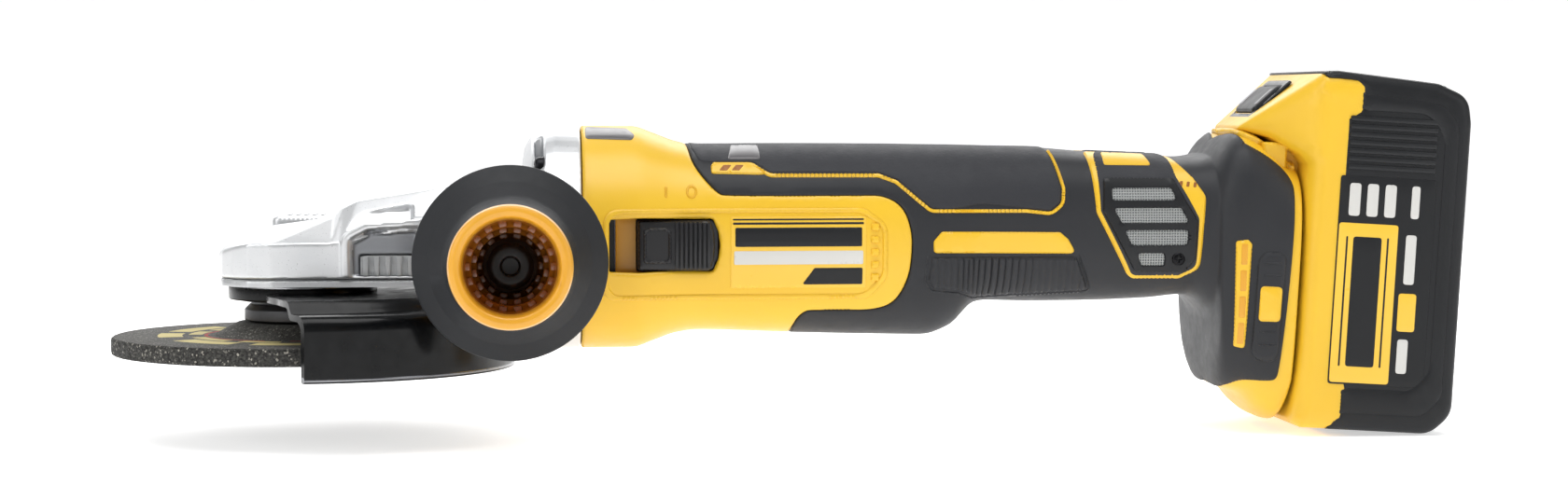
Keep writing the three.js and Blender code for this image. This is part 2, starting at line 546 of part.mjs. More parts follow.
function makeHandle() {
  const outer = loft(HANDLE);
  const innerSections = HANDLE.slice(0, 17).map((section) => ({ ...section }));
  innerSections[0].x -= 1;
  const behindFoot = inBattery(block(-60, -16.6, -60, 60, -60, 160));
  const inFrontOfBattery = inBattery(block(-300, -GAP, -60, 60, -60, 160));
  const inner = loft(innerSections, SHELL_WALL).intersect(behindFoot.add(block(100, 300, -60, 60, -60, 160)));
  // Sliding track for the battery: a slot behind two lips, open at the top.
  const track = inBattery(
    block(-NECK.depth - 1, -NECK.lip, -NECK.half - 0.6, NECK.half + 0.6, 10, 160)
      .add(block(-NECK.lip - 1, 5, -NECK.waist - 0.6, NECK.waist + 0.6, 10, 160)),
  );
  const sleeveZone = { x0: 206, x1: 258 };
  const sleeveDepth = 1.8;
  const grown = loft(HANDLE, -2);
  const sleeveGroove = block(sleeveZone.x0, sleeveZone.x1, -60, 60, -30, 100)
    .intersect(grown).subtract(loft(HANDLE, sleeveDepth));
  const shells = outer.subtract(inner).intersect(inFrontOfBattery).subtract(track).subtract(sleeveGroove);
  const sleeves = block(sleeveZone.x0 + GAP, sleeveZone.x1 - GAP, -60, 60, -30, 100)
    .intersect(outer).subtract(loft(HANDLE, sleeveDepth - GAP));

  const coverOutline = [
    [263.2, 57.6], [288, 57.4], [292, 49.8], [296, 43.2], [295.4, 29.6], [291.6, 25.4], [273.8, 25.4], [262.6, 46],
  ];
  const grownOutline = coverOutline.map(([x, z]) => {
    const [cx, cz] = [279.5, 41.5];
    const away = Math.hypot(x - cx, z - cz);
    return [x + ((x - cx) * 0.4) / away, z + ((z - cz) * 0.4) / away];
  });
  const slots = [
    [266.5, 286, 49.8, 53.2], [267.5, 290, 43.2, 46.8], [270, 291.5, 36.4, 39.8], [275.5, 284, 28.6, 32],
  ];
  const coverSkin = loft(HANDLE, 0).subtract(loft(HANDLE, 2.1));
  const coverPocket = grown.subtract(loft(HANDLE, SHELL_WALL + 0.2));
  const screwPlace = [289, 30];

  for (const [name, side] of [['left', -1], ['right', 1]]) {
    const sideBlock = side < 0 ? block(100, 360, -60, -0.15, -60, 160) : block(100, 360, 0.15, 60, -60, 160);
    const [y0, y1] = side < 0 ? [-40, -12] : [12, 40];
    let shell = shells.intersect(sideBlock).subtract(prismY(grownOutline, y0, y1).intersect(coverPocket));
    if (side > 0) {
      for (const [x, z] of SHELL_SCREWS) {
        shell = shell.subtract(rodZ(3.6, -50, 50, 12).rotate([90, 0, 0]).translate([x, 60, z]));
      }
    }
    add(group, `handle_shell_${name}`, shell, LOOK.rubber());
    add(group, `grip_sleeve_${name}`, sleeves.intersect(sideBlock), LOOK.rubber());

    let cover = prismY(coverOutline, y0, y1).intersect(coverSkin);
    for (const [x0, x1, z0, z1] of slots) cover = cover.subtract(block(x0, x1, y0, y1, z0, z1));
    const hole = rodZ(2.9, -60, 60, 12).rotate([90, 0, 0]).translate([screwPlace[0], 0, screwPlace[1]]);
    add(group, `filter_cover_${name}`, cover.subtract(hole), LOOK.blackPlastic());
    const screw = rodZ(2.5, 24.6, 27.4, 12).rotate([side < 0 ? 90 : -90, 0, 0])
      .translate([screwPlace[0], 0, screwPlace[1]]);
    add(group, `filter_screw_${name}`, screw, LOOK.blackSteel());
  }

  SHELL_SCREWS.forEach(([x, z], i) => {
    const screw = rodZ(3.2, 0, 10, 12).rotate([-90, 0, 0]).translate([x, 11, z]);
    add(group, `shell_screw_${i + 1}`, screw, LOOK.blackSteel());
  });
  add(group, 'controller_module', block(160, 196, -20, 20, 16, 56), LOOK.blackPlastic());
  add(group, 'switch_module', block(207.4, 232, -23.4, -6, 31.5, 47), LOOK.blackPlastic());
  add(group, 'terminal_block', inBattery(
    block(-NECK.depth - 0.6, -1, -18, 18, 10.4, 15).add(block(-9, -7.6, -12, -4, 14, 24))
      .add(block(-9, -7.6, 4, 12, 14, 24)),
  ), LOOK.blackPlastic());
}

// ---------------------------------------------------------------- side handle
function makeSideHandle() {
  const face = BOSS_FACE + GAP;
  const place = (body) => alongHandle(body, 1);
  const stud = turned([[0, 27], [4, 27], [4, 91.4], [7.1, 91.4], [7.1, 99], [0, 99]], 12);
  add(group, 'side_handle_stud', place(stud), LOOK.blackSteel());
  const core = turned([
    [4.3, face], [13.5, face], [13.5, FLANGE_START - 4], [15, 70], [13.6, 160.4], [17.4, 160.6],
    [17.6, HANDLE_END - 1.4], [16.4, HANDLE_END], [13.8, HANDLE_END], [11.6, 99.5], [11.4, 91.1], [4.3, 91.1],
    [4.3, face],
  ], 24);
  add(group, 'side_handle_core', place(core), LOOK.yellowPlastic());
  const grip = turned([
    [15.4, FLANGE_START], [30, FLANGE_START], [30.8, FLANGE_START + 2], [25, FLANGE_START + 6.5],
    [20.8, FLANGE_START + 13], [17.8, 90], [17.6, 158], [16.8, 160.2], [13.95, 160.2], [15.35, 70],
    [15.4, FLANGE_START],
  ], 28);
  add(group, 'side_handle_grip', place(grip), LOOK.rubber());
}

// ---------------------------------------------------------------- battery
// Built upright in its own frame: Z is the sliding direction and X points to the rear.
function makeBattery() {
  const half = BATTERY_HALF_WIDTH;
  const depth = BATTERY_DEPTH;
  const split = 18;
  const noseDown = 88.5;
  const side = [
    [0, 2], [3, 0], [depth - 8, 0], [depth, 8], [depth, 108], [depth - 4, 114], [depth - 12, 116.5], [8, 119],
    [2, 118.5], [-20, 99], [-20.5, 97.6], [-11, 95.4], [0, noseDown],
  ];
  const neck = block(-NECK.depth, -NECK.lip - 0.4, -NECK.half, NECK.half, 26, 94)
    .add(block(-NECK.lip - 1, 1, -NECK.waist, NECK.waist, 26, 94));
  // Rounded plan corners at the rear and a nose that narrows to the front.
  const round = 8;
  const noseHalf = 17;
  const plan = [[-21, -noseHalf], [3, -half]];
  for (const [cy, start] of [[-half + round, 270], [half - round, 0]]) {
    for (let i = 0; i <= 3; i += 1) {
      const angle = THREE.MathUtils.degToRad(start + 30 * i);
      plan.push([depth - round + round * Math.cos(angle), cy + round * Math.sin(angle)]);
    }
  }
  plan.push([3, half], [-21, noseHalf]);
  const column = prismZ(plan, -5, 125);
  const caseBlock = prismY(side, -half, half).intersect(column);
  const cellRoom = block(6, depth - SHELL_WALL, -half + SHELL_WALL + 1, half - SHELL_WALL - 1, 8, 106);
  const solidPack = caseBlock.add(neck);
  const front = solidPack.intersect(block(-40, split - 0.15, -60, 60, -5, 130)).subtract(cellRoom);
  const rear = solidPack.intersect(block(split + 0.15, 80, -60, 60, -5, 130)).subtract(cellRoom);

  const terminalRoom = block(-11, -5.6, -14, 14, 20, 60);
  const buttonTilt = 45;
  const onSlope = (body) => body.rotate([0, -buttonTilt, 0]).translate([-9.6, 0, 108.2]);
  const buttonPocket = onSlope(block(-6.6, 6.6, -13, 13, -8.4, 6));
  const gaugePocket = block(depth - 2.2, depth + 5, -5.3, 5.3, 86.7, 93.3);
  add(group, 'battery_case_front', inBattery(front.subtract(terminalRoom).subtract(buttonPocket)),
    LOOK.yellowPlastic());
  add(group, 'battery_case_rear', inBattery(rear.subtract(gaugePocket)), LOOK.blackPlastic());

  let cells = block(8, depth - 4, -32, 32, 10, 12.5).add(block(28, 32, -32.2, 32.2, 10, 103));
  const cellRadius = 9.1;
  for (const x of [19.6, 40.4]) {
    for (let i = 0; i < 5; i += 1) {
      cells = cells.add(rodZ(cellRadius, -32, 32, 10).rotate([90, 0, 0]).translate([x, 0, 21 + 18.6 * i]));
    }
  }
  add(group, 'cell_pack', inBattery(cells.intersect(block(6.4, depth - 3, -33, 33, 8.5, 105.5))), LOOK.board());
  add(group, 'battery_board', inBattery(block(6.5, 8.2, -30, 30, 14, 100)), LOOK.board());

  add(group, 'release_button', inBattery(onSlope(
    block(-6.2, 6.2, -12.6, 12.6, -3.2, 0.6).subtract(rodZ(2.6, -5, -2, 8)),
  )), LOOK.blackPlastic());
  add(group, 'release_spring', inBattery(onSlope(ringZ(1.2, 2.2, -8.1, -5.4, 8).translate([0, 0, -0.1]))),
    LOOK.steel());
  add(group, 'gauge_button', inBattery(block(depth - 0.9, depth + 0.4, -5, 5, 87, 93)), LOOK.blackPlastic());
}

makeDriveTrain();
makeDisc();
makeGuard();
makeGearCase();
makeSpindleLock();
makeMotorHousing();
makeSwitch();
makeHandle();
makeSideHandle();
makeBattery();

export default group;
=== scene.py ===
import json
import math

import bmesh
import bpy
import numpy as np
from mathutils import Matrix, Vector
from mathutils.geometry import delaunay_2d_cdt


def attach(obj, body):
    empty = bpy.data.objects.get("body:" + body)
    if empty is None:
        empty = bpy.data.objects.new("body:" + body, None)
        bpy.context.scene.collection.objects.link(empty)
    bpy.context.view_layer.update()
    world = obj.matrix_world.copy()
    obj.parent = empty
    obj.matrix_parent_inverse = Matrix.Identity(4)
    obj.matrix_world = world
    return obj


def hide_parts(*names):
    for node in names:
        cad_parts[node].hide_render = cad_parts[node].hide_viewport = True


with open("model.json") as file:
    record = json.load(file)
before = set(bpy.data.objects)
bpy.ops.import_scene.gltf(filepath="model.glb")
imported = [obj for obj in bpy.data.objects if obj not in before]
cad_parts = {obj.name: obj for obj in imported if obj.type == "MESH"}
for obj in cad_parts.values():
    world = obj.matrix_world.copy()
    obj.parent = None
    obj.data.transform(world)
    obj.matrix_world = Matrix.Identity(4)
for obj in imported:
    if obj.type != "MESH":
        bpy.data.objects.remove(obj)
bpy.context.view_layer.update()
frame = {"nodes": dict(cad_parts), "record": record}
MM = 0.001
TAU = 2 * math.pi
SIDES = ((-1, "left"), (1, "right"))
UPRIGHT = (0, 0, 0)
FULL_SIZE = (1, 1, 1)


# ------------------------------ materials

def linear(hex_colour):
    """Linear RGBA of a colour written as rrggbb."""
    parts = [int(hex_colour[i:i + 2], 16) / 255 for i in (0, 2, 4)]
    return [p / 12.92 if p <= 0.04045 else ((p + 0.055) / 1.055) ** 2.4 for p in parts] + [1.0]


class Look:
    """A node material with its own grain, colour variation, roughness variation and bump."""

    def __init__(self, name):
        self.mat = bpy.data.materials.new(name)
        self.mat.use_nodes = True
        self.nodes = self.mat.node_tree.nodes
        self.nodes.clear()
        self.out = self.nodes.new("ShaderNodeOutputMaterial")
        self.bsdf = self.nodes.new("ShaderNodeBsdfPrincipled")
        self.link(self.bsdf.outputs[0], self.out.inputs[0])
        self.coords = self.nodes.new("ShaderNodeTexCoord").outputs["Object"]

    def link(self, a, b):
        self.mat.node_tree.links.new(a, b)

    def noise(self, size_mm, detail=3.0, rough=0.5, stretch=None):
        node = self.nodes.new("ShaderNodeTexNoise")
        node.inputs["Scale"].default_value = 1000.0 / size_mm
        node.inputs["Detail"].default_value = detail
        node.inputs["Roughness"].default_value = rough
        source = self.coords
        if stretch:
            mapping = self.nodes.new("ShaderNodeMapping")
            mapping.inputs["Scale"].default_value = stretch
            self.link(source, mapping.inputs["Vector"])
            source = mapping.outputs[0]
        self.link(source, node.inputs["Vector"])
        return node.outputs["Fac"]

    def cells(self, size_mm):
        node = self.nodes.new("ShaderNodeTexVoronoi")
        node.inputs["Scale"].default_value = 1000.0 / size_mm
        self.link(self.coords, node.inputs["Vector"])
        return node

    def spread(self, value, low, high, start=0.0, end=1.0):
        node = self.nodes.new("ShaderNodeMapRange")
        node.inputs["From Min"].default_value = start
        node.inputs["From Max"].default_value = end
        node.inputs["To Min"].default_value = low
        node.inputs["To Max"].default_value = high
        self.link(value, node.inputs["Value"])
        return node.outputs[0]

    def blend(self, factor, first, second):
        node = self.nodes.new("ShaderNodeMix")
        node.data_type = "RGBA"
        self.link(factor, node.inputs["Factor"])
        for socket, value in ((node.inputs[6], first), (node.inputs[7], second)):
            if isinstance(value, (list, tuple)):
                socket.default_value = value
            else:
                self.link(value, socket)
        return node.outputs[2]

    def bump(self, *layers):
        """layers: (height value, depth in mm)."""
        normal = None
        for value, depth in layers:
            node = self.nodes.new("ShaderNodeBump")
            node.inputs["Strength"].default_value = 1.0
            node.inputs["Distance"].default_value = depth * MM
            self.link(value, node.inputs["Height"])
            if normal is not None:
                self.link(normal, node.inputs["Normal"])
            normal = node.outputs[0]
        self.link(normal, self.bsdf.inputs["Normal"])

    def colour(self, value):
        self.link(value, self.bsdf.inputs["Base Color"])

    def rough(self, value, low, high, start=0.3, end=0.7):
        self.link(self.spread(value, low, high, start, end), self.bsdf.inputs["Roughness"])

    def set(self, **values):
        for name, value in values.items():
            self.bsdf.inputs[name.replace("_", " ")].default_value = value


def moulded(name, colour, worn, roughness, grain, depth, coat=0.0, sheen=0.0, gloss=0.5):
    """Moulded plastic or rubber: a fine surface texture, slight shade changes and scuffed edges."""
    look = Look(name)
    wide = look.noise(34, 4)
    fine = look.noise(grain, 2, 0.6)
    scuff = look.noise(5, 5, 0.7)
    edge = look.spread(look.nodes.new("ShaderNodeNewGeometry").outputs["Pointiness"], 0.0, 0.5, 0.53, 0.6)
    tone = look.blend(look.spread(wide, 0.0, 0.35, 0.3, 0.7), linear(colour), linear(worn))
    look.colour(look.blend(edge, tone, linear(worn)))
    look.rough(scuff, roughness - 0.05, roughness + 0.07)
    look.bump((wide, 0.02), (fine, depth))
    look.set(Coat_Weight=coat, Coat_Roughness=0.25, Sheen_Weight=sheen, Specular_IOR_Level=gloss)
    return look.mat


def metal(name, colour, shade, roughness, grain, depth, stretch=None, metallic=1.0, gloss=0.5):
    """Metal or paint: slow shade changes, a fine grain that may be stretched one way, and a slight bump."""
    look = Look(name)
    wide = look.noise(22, 4)
    fine = look.noise(grain, 3, 0.6, stretch)
    look.colour(look.blend(look.spread(wide, 0.0, 1.0, 0.3, 0.7), linear(colour), linear(shade)))
    look.rough(fine, roughness - 0.05, roughness + 0.09)
    look.bump((wide, 0.015), (fine, depth))
    look.set(Metallic=metallic, Specular_IOR_Level=gloss)
    return look.mat


def grit(name, base, spark, dark, size_mm, depth):
    """Bonded abrasive: packed grains of several shades that stand proud of the resin."""
    look = Look(name)
    grains = look.cells(size_mm)
    sharp = look.spread(grains.outputs["Color"], 0.0, 1.0, 0.15, 0.85)
    glint = look.spread(grains.outputs["Color"], 0.0, 1.0, 0.78, 0.9)
    tone = look.blend(sharp, linear(dark), linear(base))
    look.colour(look.blend(glint, tone, linear(spark)))
    look.rough(grains.outputs["Distance"], 0.55, 0.95, 0.0, 0.7)
    look.bump((look.noise(size_mm * 3, 4), depth), (grains.outputs["Distance"], depth))
    return look.mat


def woven(name, thread, gap, pitch_mm):
    """Fine wire cloth: two sets of threads that pass over and under each other."""
    look = Look(name)
    waves = []
    for axis in ("X", "Z"):
        node = look.nodes.new("ShaderNodeTexWave")
        node.bands_direction = axis
        node.inputs["Scale"].default_value = 1000.0 / pitch_mm / 3.1
        node.inputs["Distortion"].default_value = 0.15
        look.link(look.coords, node.inputs["Vector"])
        waves.append(node.outputs["Fac"])
    high = look.nodes.new("ShaderNodeMath")
    high.operation = "MAXIMUM"
    look.link(waves[0], high.inputs[0])
    look.link(waves[1], high.inputs[1])
    look.colour(look.blend(look.spread(high.outputs[0], 0.0, 1.0, 0.35, 0.9), linear(gap), linear(thread)))
    look.rough(high.outputs[0], 0.35, 0.55, 0.0, 1.0)
    look.bump((high.outputs[0], 0.18))
    look.set(Metallic=0.6)
    return look.mat


YELLOW = moulded("yellow_plastic", "EABD2C", "E0AE24", 0.36, 0.55, 0.010, coat=0.12)
YELLOW_GRAINY = moulded("yellow_plastic_grained", "E2B026", "D8A320", 0.42, 0.9, 0.03)
RING_YELLOW = moulded("handle_core_plastic", "E0A229", "C98A1E", 0.34, 0.7, 0.012, coat=0.2)
ORANGE_DEEP = moulded("shaded_orange_plastic", "9C5E12", "7A460D", 0.45, 0.7, 0.012)
RUBBER = moulded("grained_rubber", "303135", "3C3D41", 0.6, 1.1, 0.11, gloss=0.28)
RUBBER_SMOOTH = moulded("smooth_rubber", "2B2C2F", "37383B", 0.46, 0.5, 0.012, gloss=0.25)
FLANGE_RUBBER = moulded("side_handle_rubber", "2A2B2D", "343538", 0.5, 0.6, 0.02, gloss=0.2)
BLACK = moulded("black_plastic", "1E1F21", "292A2C", 0.38, 0.6, 0.015, coat=0.03, gloss=0.25)
BLACK_SHINY = moulded("black_plastic_polished", "161719", "222325", 0.2, 1.2, 0.006, coat=0.2, gloss=0.4)
SWITCH_BLACK = moulded("switch_plastic", "222224", "303032", 0.34, 0.5, 0.012, coat=0.05, gloss=0.3)
LABEL_DARK = moulded("label_print_dark", "1F2022", "222325", 0.35, 0.4, 0.004, gloss=0.25)
LABEL_PALE = moulded("label_print_pale", "CFCECA", "CAC9C5", 0.32, 0.4, 0.004, coat=0.3)
LABEL_YELLOW = moulded("label_print_yellow", "F0C23A", "E6B62E", 0.32, 0.4, 0.004, coat=0.3)
LABEL_GREY = moulded("label_print_grey", "5C5A5C", "4E4C4E", 0.32, 0.4, 0.004, coat=0.3)
RED_PRINT = moulded("disc_print_red", "B03A2E", "8E2C22", 0.7, 0.5, 0.03)
PALE_PRINT = moulded("disc_print_pale", "D2C489", "B5A76E", 0.75, 0.5, 0.05)
CAST = metal("bead_blasted_casting", "E4E5E6", "D2D4D6", 0.32, 0.5, 0.02, metallic=0.7)
# Painted shade: a darker grey copy of the casting, used only on the faces inside the side recesses.
CAST_RECESS_SHADE = metal("casting_recess_painted_shade", "94969A", "7E8084", 0.42, 0.5, 0.02, metallic=0.8)
CHROME = metal("bright_chrome", "E9EAEC", "D0D2D6", 0.1, 3.0, 0.004)
STEEL = metal("ground_steel", "9B9DA0", "838588", 0.3, 1.0, 0.01, stretch=(1, 1, 8))
FLANGE_STEEL = metal("blackened_steel", "5C5C5E", "4A4A4C", 0.42, 0.7, 0.01)
PAINTED = metal("gloss_black_paint", "0B0C0E", "070809", 0.2, 6.0, 0.01, metallic=0.0, gloss=0.22)
BEAD = metal("bright_rolled_edge", "8E8F92", "6F7074", 0.2, 2.0, 0.01)
SCREW_BLACK = metal("blackened_screw", "2B2B2D", "1F1F21", 0.3, 0.8, 0.01)
GRIT_RIM = grit("bonded_grit_rim", "44433F", "9A968C", "171615", 0.62, 0.16)
GRIT_FACE = grit("bonded_grit_face", "5A5955", "8F8C85", "3A3936", 0.5, 0.06)
MESH_CLOTH = woven("wire_cloth", "A3A5A4", "55595A", 0.9)
CLEAR = moulded("clear_ribbed_plastic", "D9DBDC", "C8CACC", 0.12, 1.5, 0.01, coat=0.6)
AMBER = moulded("amber_plastic", "9A5A22", "7A431A", 0.25, 0.8, 0.01, coat=0.4)
COPPER = metal("enamelled_copper", "B4663A", "93502B", 0.32, 0.8, 0.02, stretch=(8, 1, 1))
WRAP = moulded("cell_wrap", "3B7896", "30657F", 0.25, 1.0, 0.01, coat=0.5)
BOARD = moulded("circuit_board", "1E5A34", "184A2A", 0.3, 1.0, 0.01, coat=0.5)
CLEAR.node_tree.nodes["Principled BSDF"].inputs["Transmission Weight"].default_value = 0.45

SLOT_LOOKS = {
    "cast_metal": CAST, "bright_steel": STEEL, "chrome_steel": CHROME, "black_steel": SCREW_BLACK,
    "black_plastic": BLACK, "yellow_plastic": YELLOW, "grip_rubber": RUBBER, "copper_wire": COPPER,
    "abrasive_grit": GRIT_FACE, "clear_plastic": CLEAR, "cell_wrap": WRAP, "board_green": BOARD,
}
LOOK_OF_NODE = {row["node"]: row["material_slot"] for row in frame["record"]["subparts"]}
for node_name, node_object in frame["nodes"].items():
    node_object.data.materials.clear()
    node_object.data.materials.append(SLOT_LOOKS[LOOK_OF_NODE[node_name]])


# ------------------------------ mesh tools

def make_piece(name, verts, faces, material, body="tool", slot=None, replaces=(), smooth=40):
    """A mesh piece from vertices in mm; its faces are turned outwards and shaded smooth up to an angle."""
    mesh = bpy.data.meshes.new(name)
    mesh.from_pydata([tuple(c * MM for c in v) for v in verts], [], faces)
    bm = bmesh.new()
    bm.from_mesh(mesh)
    bmesh.ops.remove_doubles(bm, verts=bm.verts, dist=2e-6)
    bmesh.ops.dissolve_degenerate(bm, edges=bm.edges, dist=1e-7)
    bmesh.ops.recalc_face_normals(bm, faces=bm.faces)
    bm.to_mesh(mesh)
    bm.free()
    return wrap_piece(name, mesh, material, body, replaces, smooth)


def wrap_piece(name, mesh, material, body, replaces, smooth):
    """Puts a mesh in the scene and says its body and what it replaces."""
    if material is not None:
        mesh.materials.clear()
        mesh.materials.append(material)
    piece = bpy.data.objects.new(name, mesh)
    bpy.context.scene.collection.objects.link(piece)
    if smooth:
        mesh.shade_smooth()
        mesh.set_sharp_from_angle(angle=math.radians(smooth))
    if body:
        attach(piece, body)
    if replaces:
        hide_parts(*replaces)
    return piece


def rounded(points, radius, steps=5, closed=True):
    """The outline with each corner rounded; radius is one number or one for each corner."""
    count = len(points)
    radii = [radius] * count if isinstance(radius, (int, float)) else radius
    out = []
    for i, (x, y) in enumerate(points):
        if not closed and i in (0, count - 1):
            out.append((x, y))
            continue
        before = Vector(points[i - 1]) - Vector((x, y))
        after = Vector(points[(i + 1) % count]) - Vector((x, y))
        turn = math.pi - before.angle(after)
        if radii[i] <= 0 or turn < 0.03:
            out.append((x, y))
            continue
        reach = min(radii[i] * math.tan(turn / 2), 0.48 * before.length, 0.48 * after.length)
        first = Vector((x, y)) + before.normalized() * reach
        last = Vector((x, y)) + after.normalized() * reach
        for k in range(steps + 1):
            t = k / steps
            out.append(tuple(first * (1 - t) ** 2 + Vector((x, y)) * 2 * t * (1 - t) + last * t ** 2))
    return out


def band(points, width, corner=4.0):
    """A closed strip of one width along a line of points."""
    path = [Vector(p) for p in rounded(points, corner, 5, closed=False)]
    left, right = [], []
    for i, p in enumerate(path):
        along = (path[min(i + 1, len(path) - 1)] - path[max(i - 1, 0)]).normalized()
        side = Vector((-along.y, along.x)) * width / 2
        left.append(tuple(p + side))
        right.append(tuple(p - side))
    return left + right[::-1]


LEFT = Matrix(((1, 0, 0), (0, 0, -1), (0, 1, 0))).to_4x4()
RIGHT = Matrix(((1, 0, 0), (0, 0, 1), (0, 1, 0))).to_4x4()
FLAT = Matrix.Identity(4)


def prism(name, outline, low, high, material, place=FLAT, bevel=0.0, steps=3, **extra):
    """A closed outline raised from low to high along its own third axis, with rounded rims."""
    bm = bmesh.new()
    base = [bm.verts.new((x, y, low)) for x, y in outline]
    bottom = bm.faces.new(base)
    grown = bmesh.ops.extrude_face_region(bm, geom=[bottom])["geom"]
    top = [v for v in grown if isinstance(v, bmesh.types.BMVert)]
    bmesh.ops.translate(bm, verts=top, vec=(0, 0, high - low))
    if bevel:
        rims = [e for e in bm.edges if abs(e.verts[0].co.z - e.verts[1].co.z) < 1e-6]
        bmesh.ops.bevel(bm, geom=rims, offset=bevel, segments=steps, profile=0.5, affect="EDGES",
            clamp_overlap=True)
    bmesh.ops.triangulate(bm, faces=[f for f in bm.faces if len(f.verts) > 4])
    verts = [tuple(place @ v.co) for v in bm.verts]
    faces = [[v.index for v in f.verts] for f in bm.faces]
    bm.free()
    return make_piece(name, verts, faces, material, **extra)


def lathe_mesh(profile, turns=96, place=FLAT, start=0.0, sweep=TAU):
    """Vertices and faces of a closed profile (radius, height) turned about its own Z."""
    whole = sweep > TAU - 1e-6
    rings = turns if whole else turns + 1
    verts, faces = [], []
    count = len(profile)
    for i in range(rings):
        a = start + sweep * i / turns
        for r, h in profile:
            verts.append(tuple(place @ Vector((r * math.cos(a), r * math.sin(a), h))))
    for i in range(turns):
        j = (i + 1) % rings
        for k in range(count):
            n = (k + 1) % count
            faces.append((i * count + k, j * count + k, j * count + n, i * count + n))
    if not whole:
        faces.append(tuple(range(count)))
        faces.append(tuple((rings - 1) * count + k for k in range(count)))
    return verts, faces


def lathe(name, profile, material, turns=96, place=FLAT, **extra):
    """A piece turned from a closed profile."""
    verts, faces = lathe_mesh(profile, turns, place)
    return make_piece(name, verts, faces, material, **extra)


def repeat_group():
    """A node group that sets one shape at each point, turned and scaled by the point's own values."""
    group = bpy.data.node_groups.new("repeat_at_points", "GeometryNodeTree")
    face = group.interface
    face.new_socket("Points", in_out="INPUT", socket_type="NodeSocketGeometry")
    face.new_socket("Shape", in_out="INPUT", socket_type="NodeSocketObject")
    face.new_socket("Finish", in_out="INPUT", socket_type="NodeSocketMaterial")
    face.new_socket("Result", in_out="OUTPUT", socket_type="NodeSocketGeometry")
    source = group.nodes.new("NodeGroupInput")
    result = group.nodes.new("NodeGroupOutput")
    shape = group.nodes.new("GeometryNodeObjectInfo")
    shape.transform_space = "ORIGINAL"
    scatter = group.nodes.new("GeometryNodeInstanceOnPoints")
    real = group.nodes.new("GeometryNodeRealizeInstances")
    paint = group.nodes.new("GeometryNodeSetMaterial")
    turn = group.nodes.new("GeometryNodeInputNamedAttribute")
    turn.data_type = "FLOAT_VECTOR"
    turn.inputs["Name"].default_value = "turn"
    size = group.nodes.new("GeometryNodeInputNamedAttribute")
    size.data_type = "FLOAT_VECTOR"
    size.inputs["Name"].default_value = "size"
    link = group.links.new
    link(source.outputs["Points"], scatter.inputs["Points"])
    link(source.outputs["Shape"], shape.inputs["Object"])
    link(shape.outputs["Geometry"], scatter.inputs["Instance"])
    link(turn.outputs["Attribute"], scatter.inputs["Rotation"])
    link(size.outputs["Attribute"], scatter.inputs["Scale"])
    link(scatter.outputs["Instances"], real.inputs["Geometry"])
    link(real.outputs["Geometry"], paint.inputs["Geometry"])
    link(source.outputs["Finish"], paint.inputs["Material"])
    link(paint.outputs["Geometry"], result.inputs["Result"])
    return group


REPEAT = repeat_group()


def repeat(name, shape, places, material, body="tool", replaces=(), smooth=40):
    """One mesh made of the shape at every (position in mm, turn, size); shape is an unlinked object."""
    points = bpy.data.meshes.new(name + "_points")
    points.from_pydata([tuple(c * MM for c in p[0]) for p in places], [], [])
    for key, column in (("turn", 1), ("size", 2)):
        values = points.attributes.new(key, "FLOAT_VECTOR", "POINT")
        values.data.foreach_set("vector", [c for p in places for c in p[column]])
    holder = bpy.data.objects.new(name + "_holder", points)
    bpy.context.scene.collection.objects.link(holder)
    modifier = holder.modifiers.new("repeat", "NODES")
    modifier.node_group = REPEAT
    keys = {i.name: i.identifier for i in REPEAT.interface.items_tree if i.item_type == "SOCKET"}
    modifier[keys["Shape"]] = shape
    modifier[keys["Finish"]] = material
    graph = bpy.context.evaluated_depsgraph_get()
    mesh = bpy.data.meshes.new_from_object(holder.evaluated_get(graph))
    mesh.name = name
    bpy.data.objects.remove(holder)
    bpy.data.meshes.remove(points)
    return wrap_piece(name, mesh, None, body, replaces, smooth)


def unit_shape(name, verts, faces):
    """A shape for repeat(): kept out of the scene's own collection."""
    piece = make_piece(name, verts, faces, None, body=None, smooth=40)
    bpy.context.scene.collection.objects.unlink(piece)
    return piece


def soft_block(name, length, depth, height, bevel):
    """A block with rounded edges, for repeat()."""
    bm = bmesh.new()
    bmesh.ops.create_cube(bm, size=1.0, matrix=Matrix.Diagonal((length, depth, height, 1)))
    bmesh.ops.bevel(bm, geom=bm.edges[:], offset=bevel, segments=2, profile=0.5, affect="EDGES")
    verts = [tuple(v.co) for v in bm.verts]
    faces = [[v.index for v in f.verts] for f in bm.faces]
    bm.free()
    return unit_shape(name, verts, faces)


# ------------------------------ the tool's long body as one surface

SECTIONS = np.array([
    (91.9, 0, 74.2, 37.1, 2.0), (109, 0.1, 74.1, 36.9, 2.05), (116.3, 2.5, 71.8, 35.4, 2.15),
    (123.7, 5.1, 69.1, 33.8, 2.3), (131, 6, 67.8, 32.8, 2.4), (156.5, 5.2, 67.9, 32, 2.6),
    (194, 4.2, 67.7, 31, 2.6), (206, 4, 67.5, 29.8, 2.6), (214.5, 6.7, 67.4, 29, 2.6),
    (223.3, 14.7, 67.2, 28.2, 2.6), (227, 15.4, 67.1, 28, 2.6), (243, 15.1, 66.8, 27.6, 2.7),
    (262, 15.3, 65.4, 27.6, 3), (282, 16.1, 64.4, 28.2, 3.2), (294, 17.2, 63.5, 29, 3.2),
    (301.6, 11, 64.6, 31.4, 3.2), (303, -8.5, 66, 33, 3.6), (305.1, -13.7, 68.5, 34, 4),
    (307.5, -15.2, 71, 35, 4), (311, -16.3, 72.6, 35.6, 4), (316.1, -21.9, 71.2, 36, 4),
    (321.6, -25.6, 67.5, 36.3, 4), (326, -25.8, 63.5, 36.5, 4), (336, -25.8, 60, 36.5, 4)])
GIRTH = 35.0
ROUND = math.pi * GIRTH


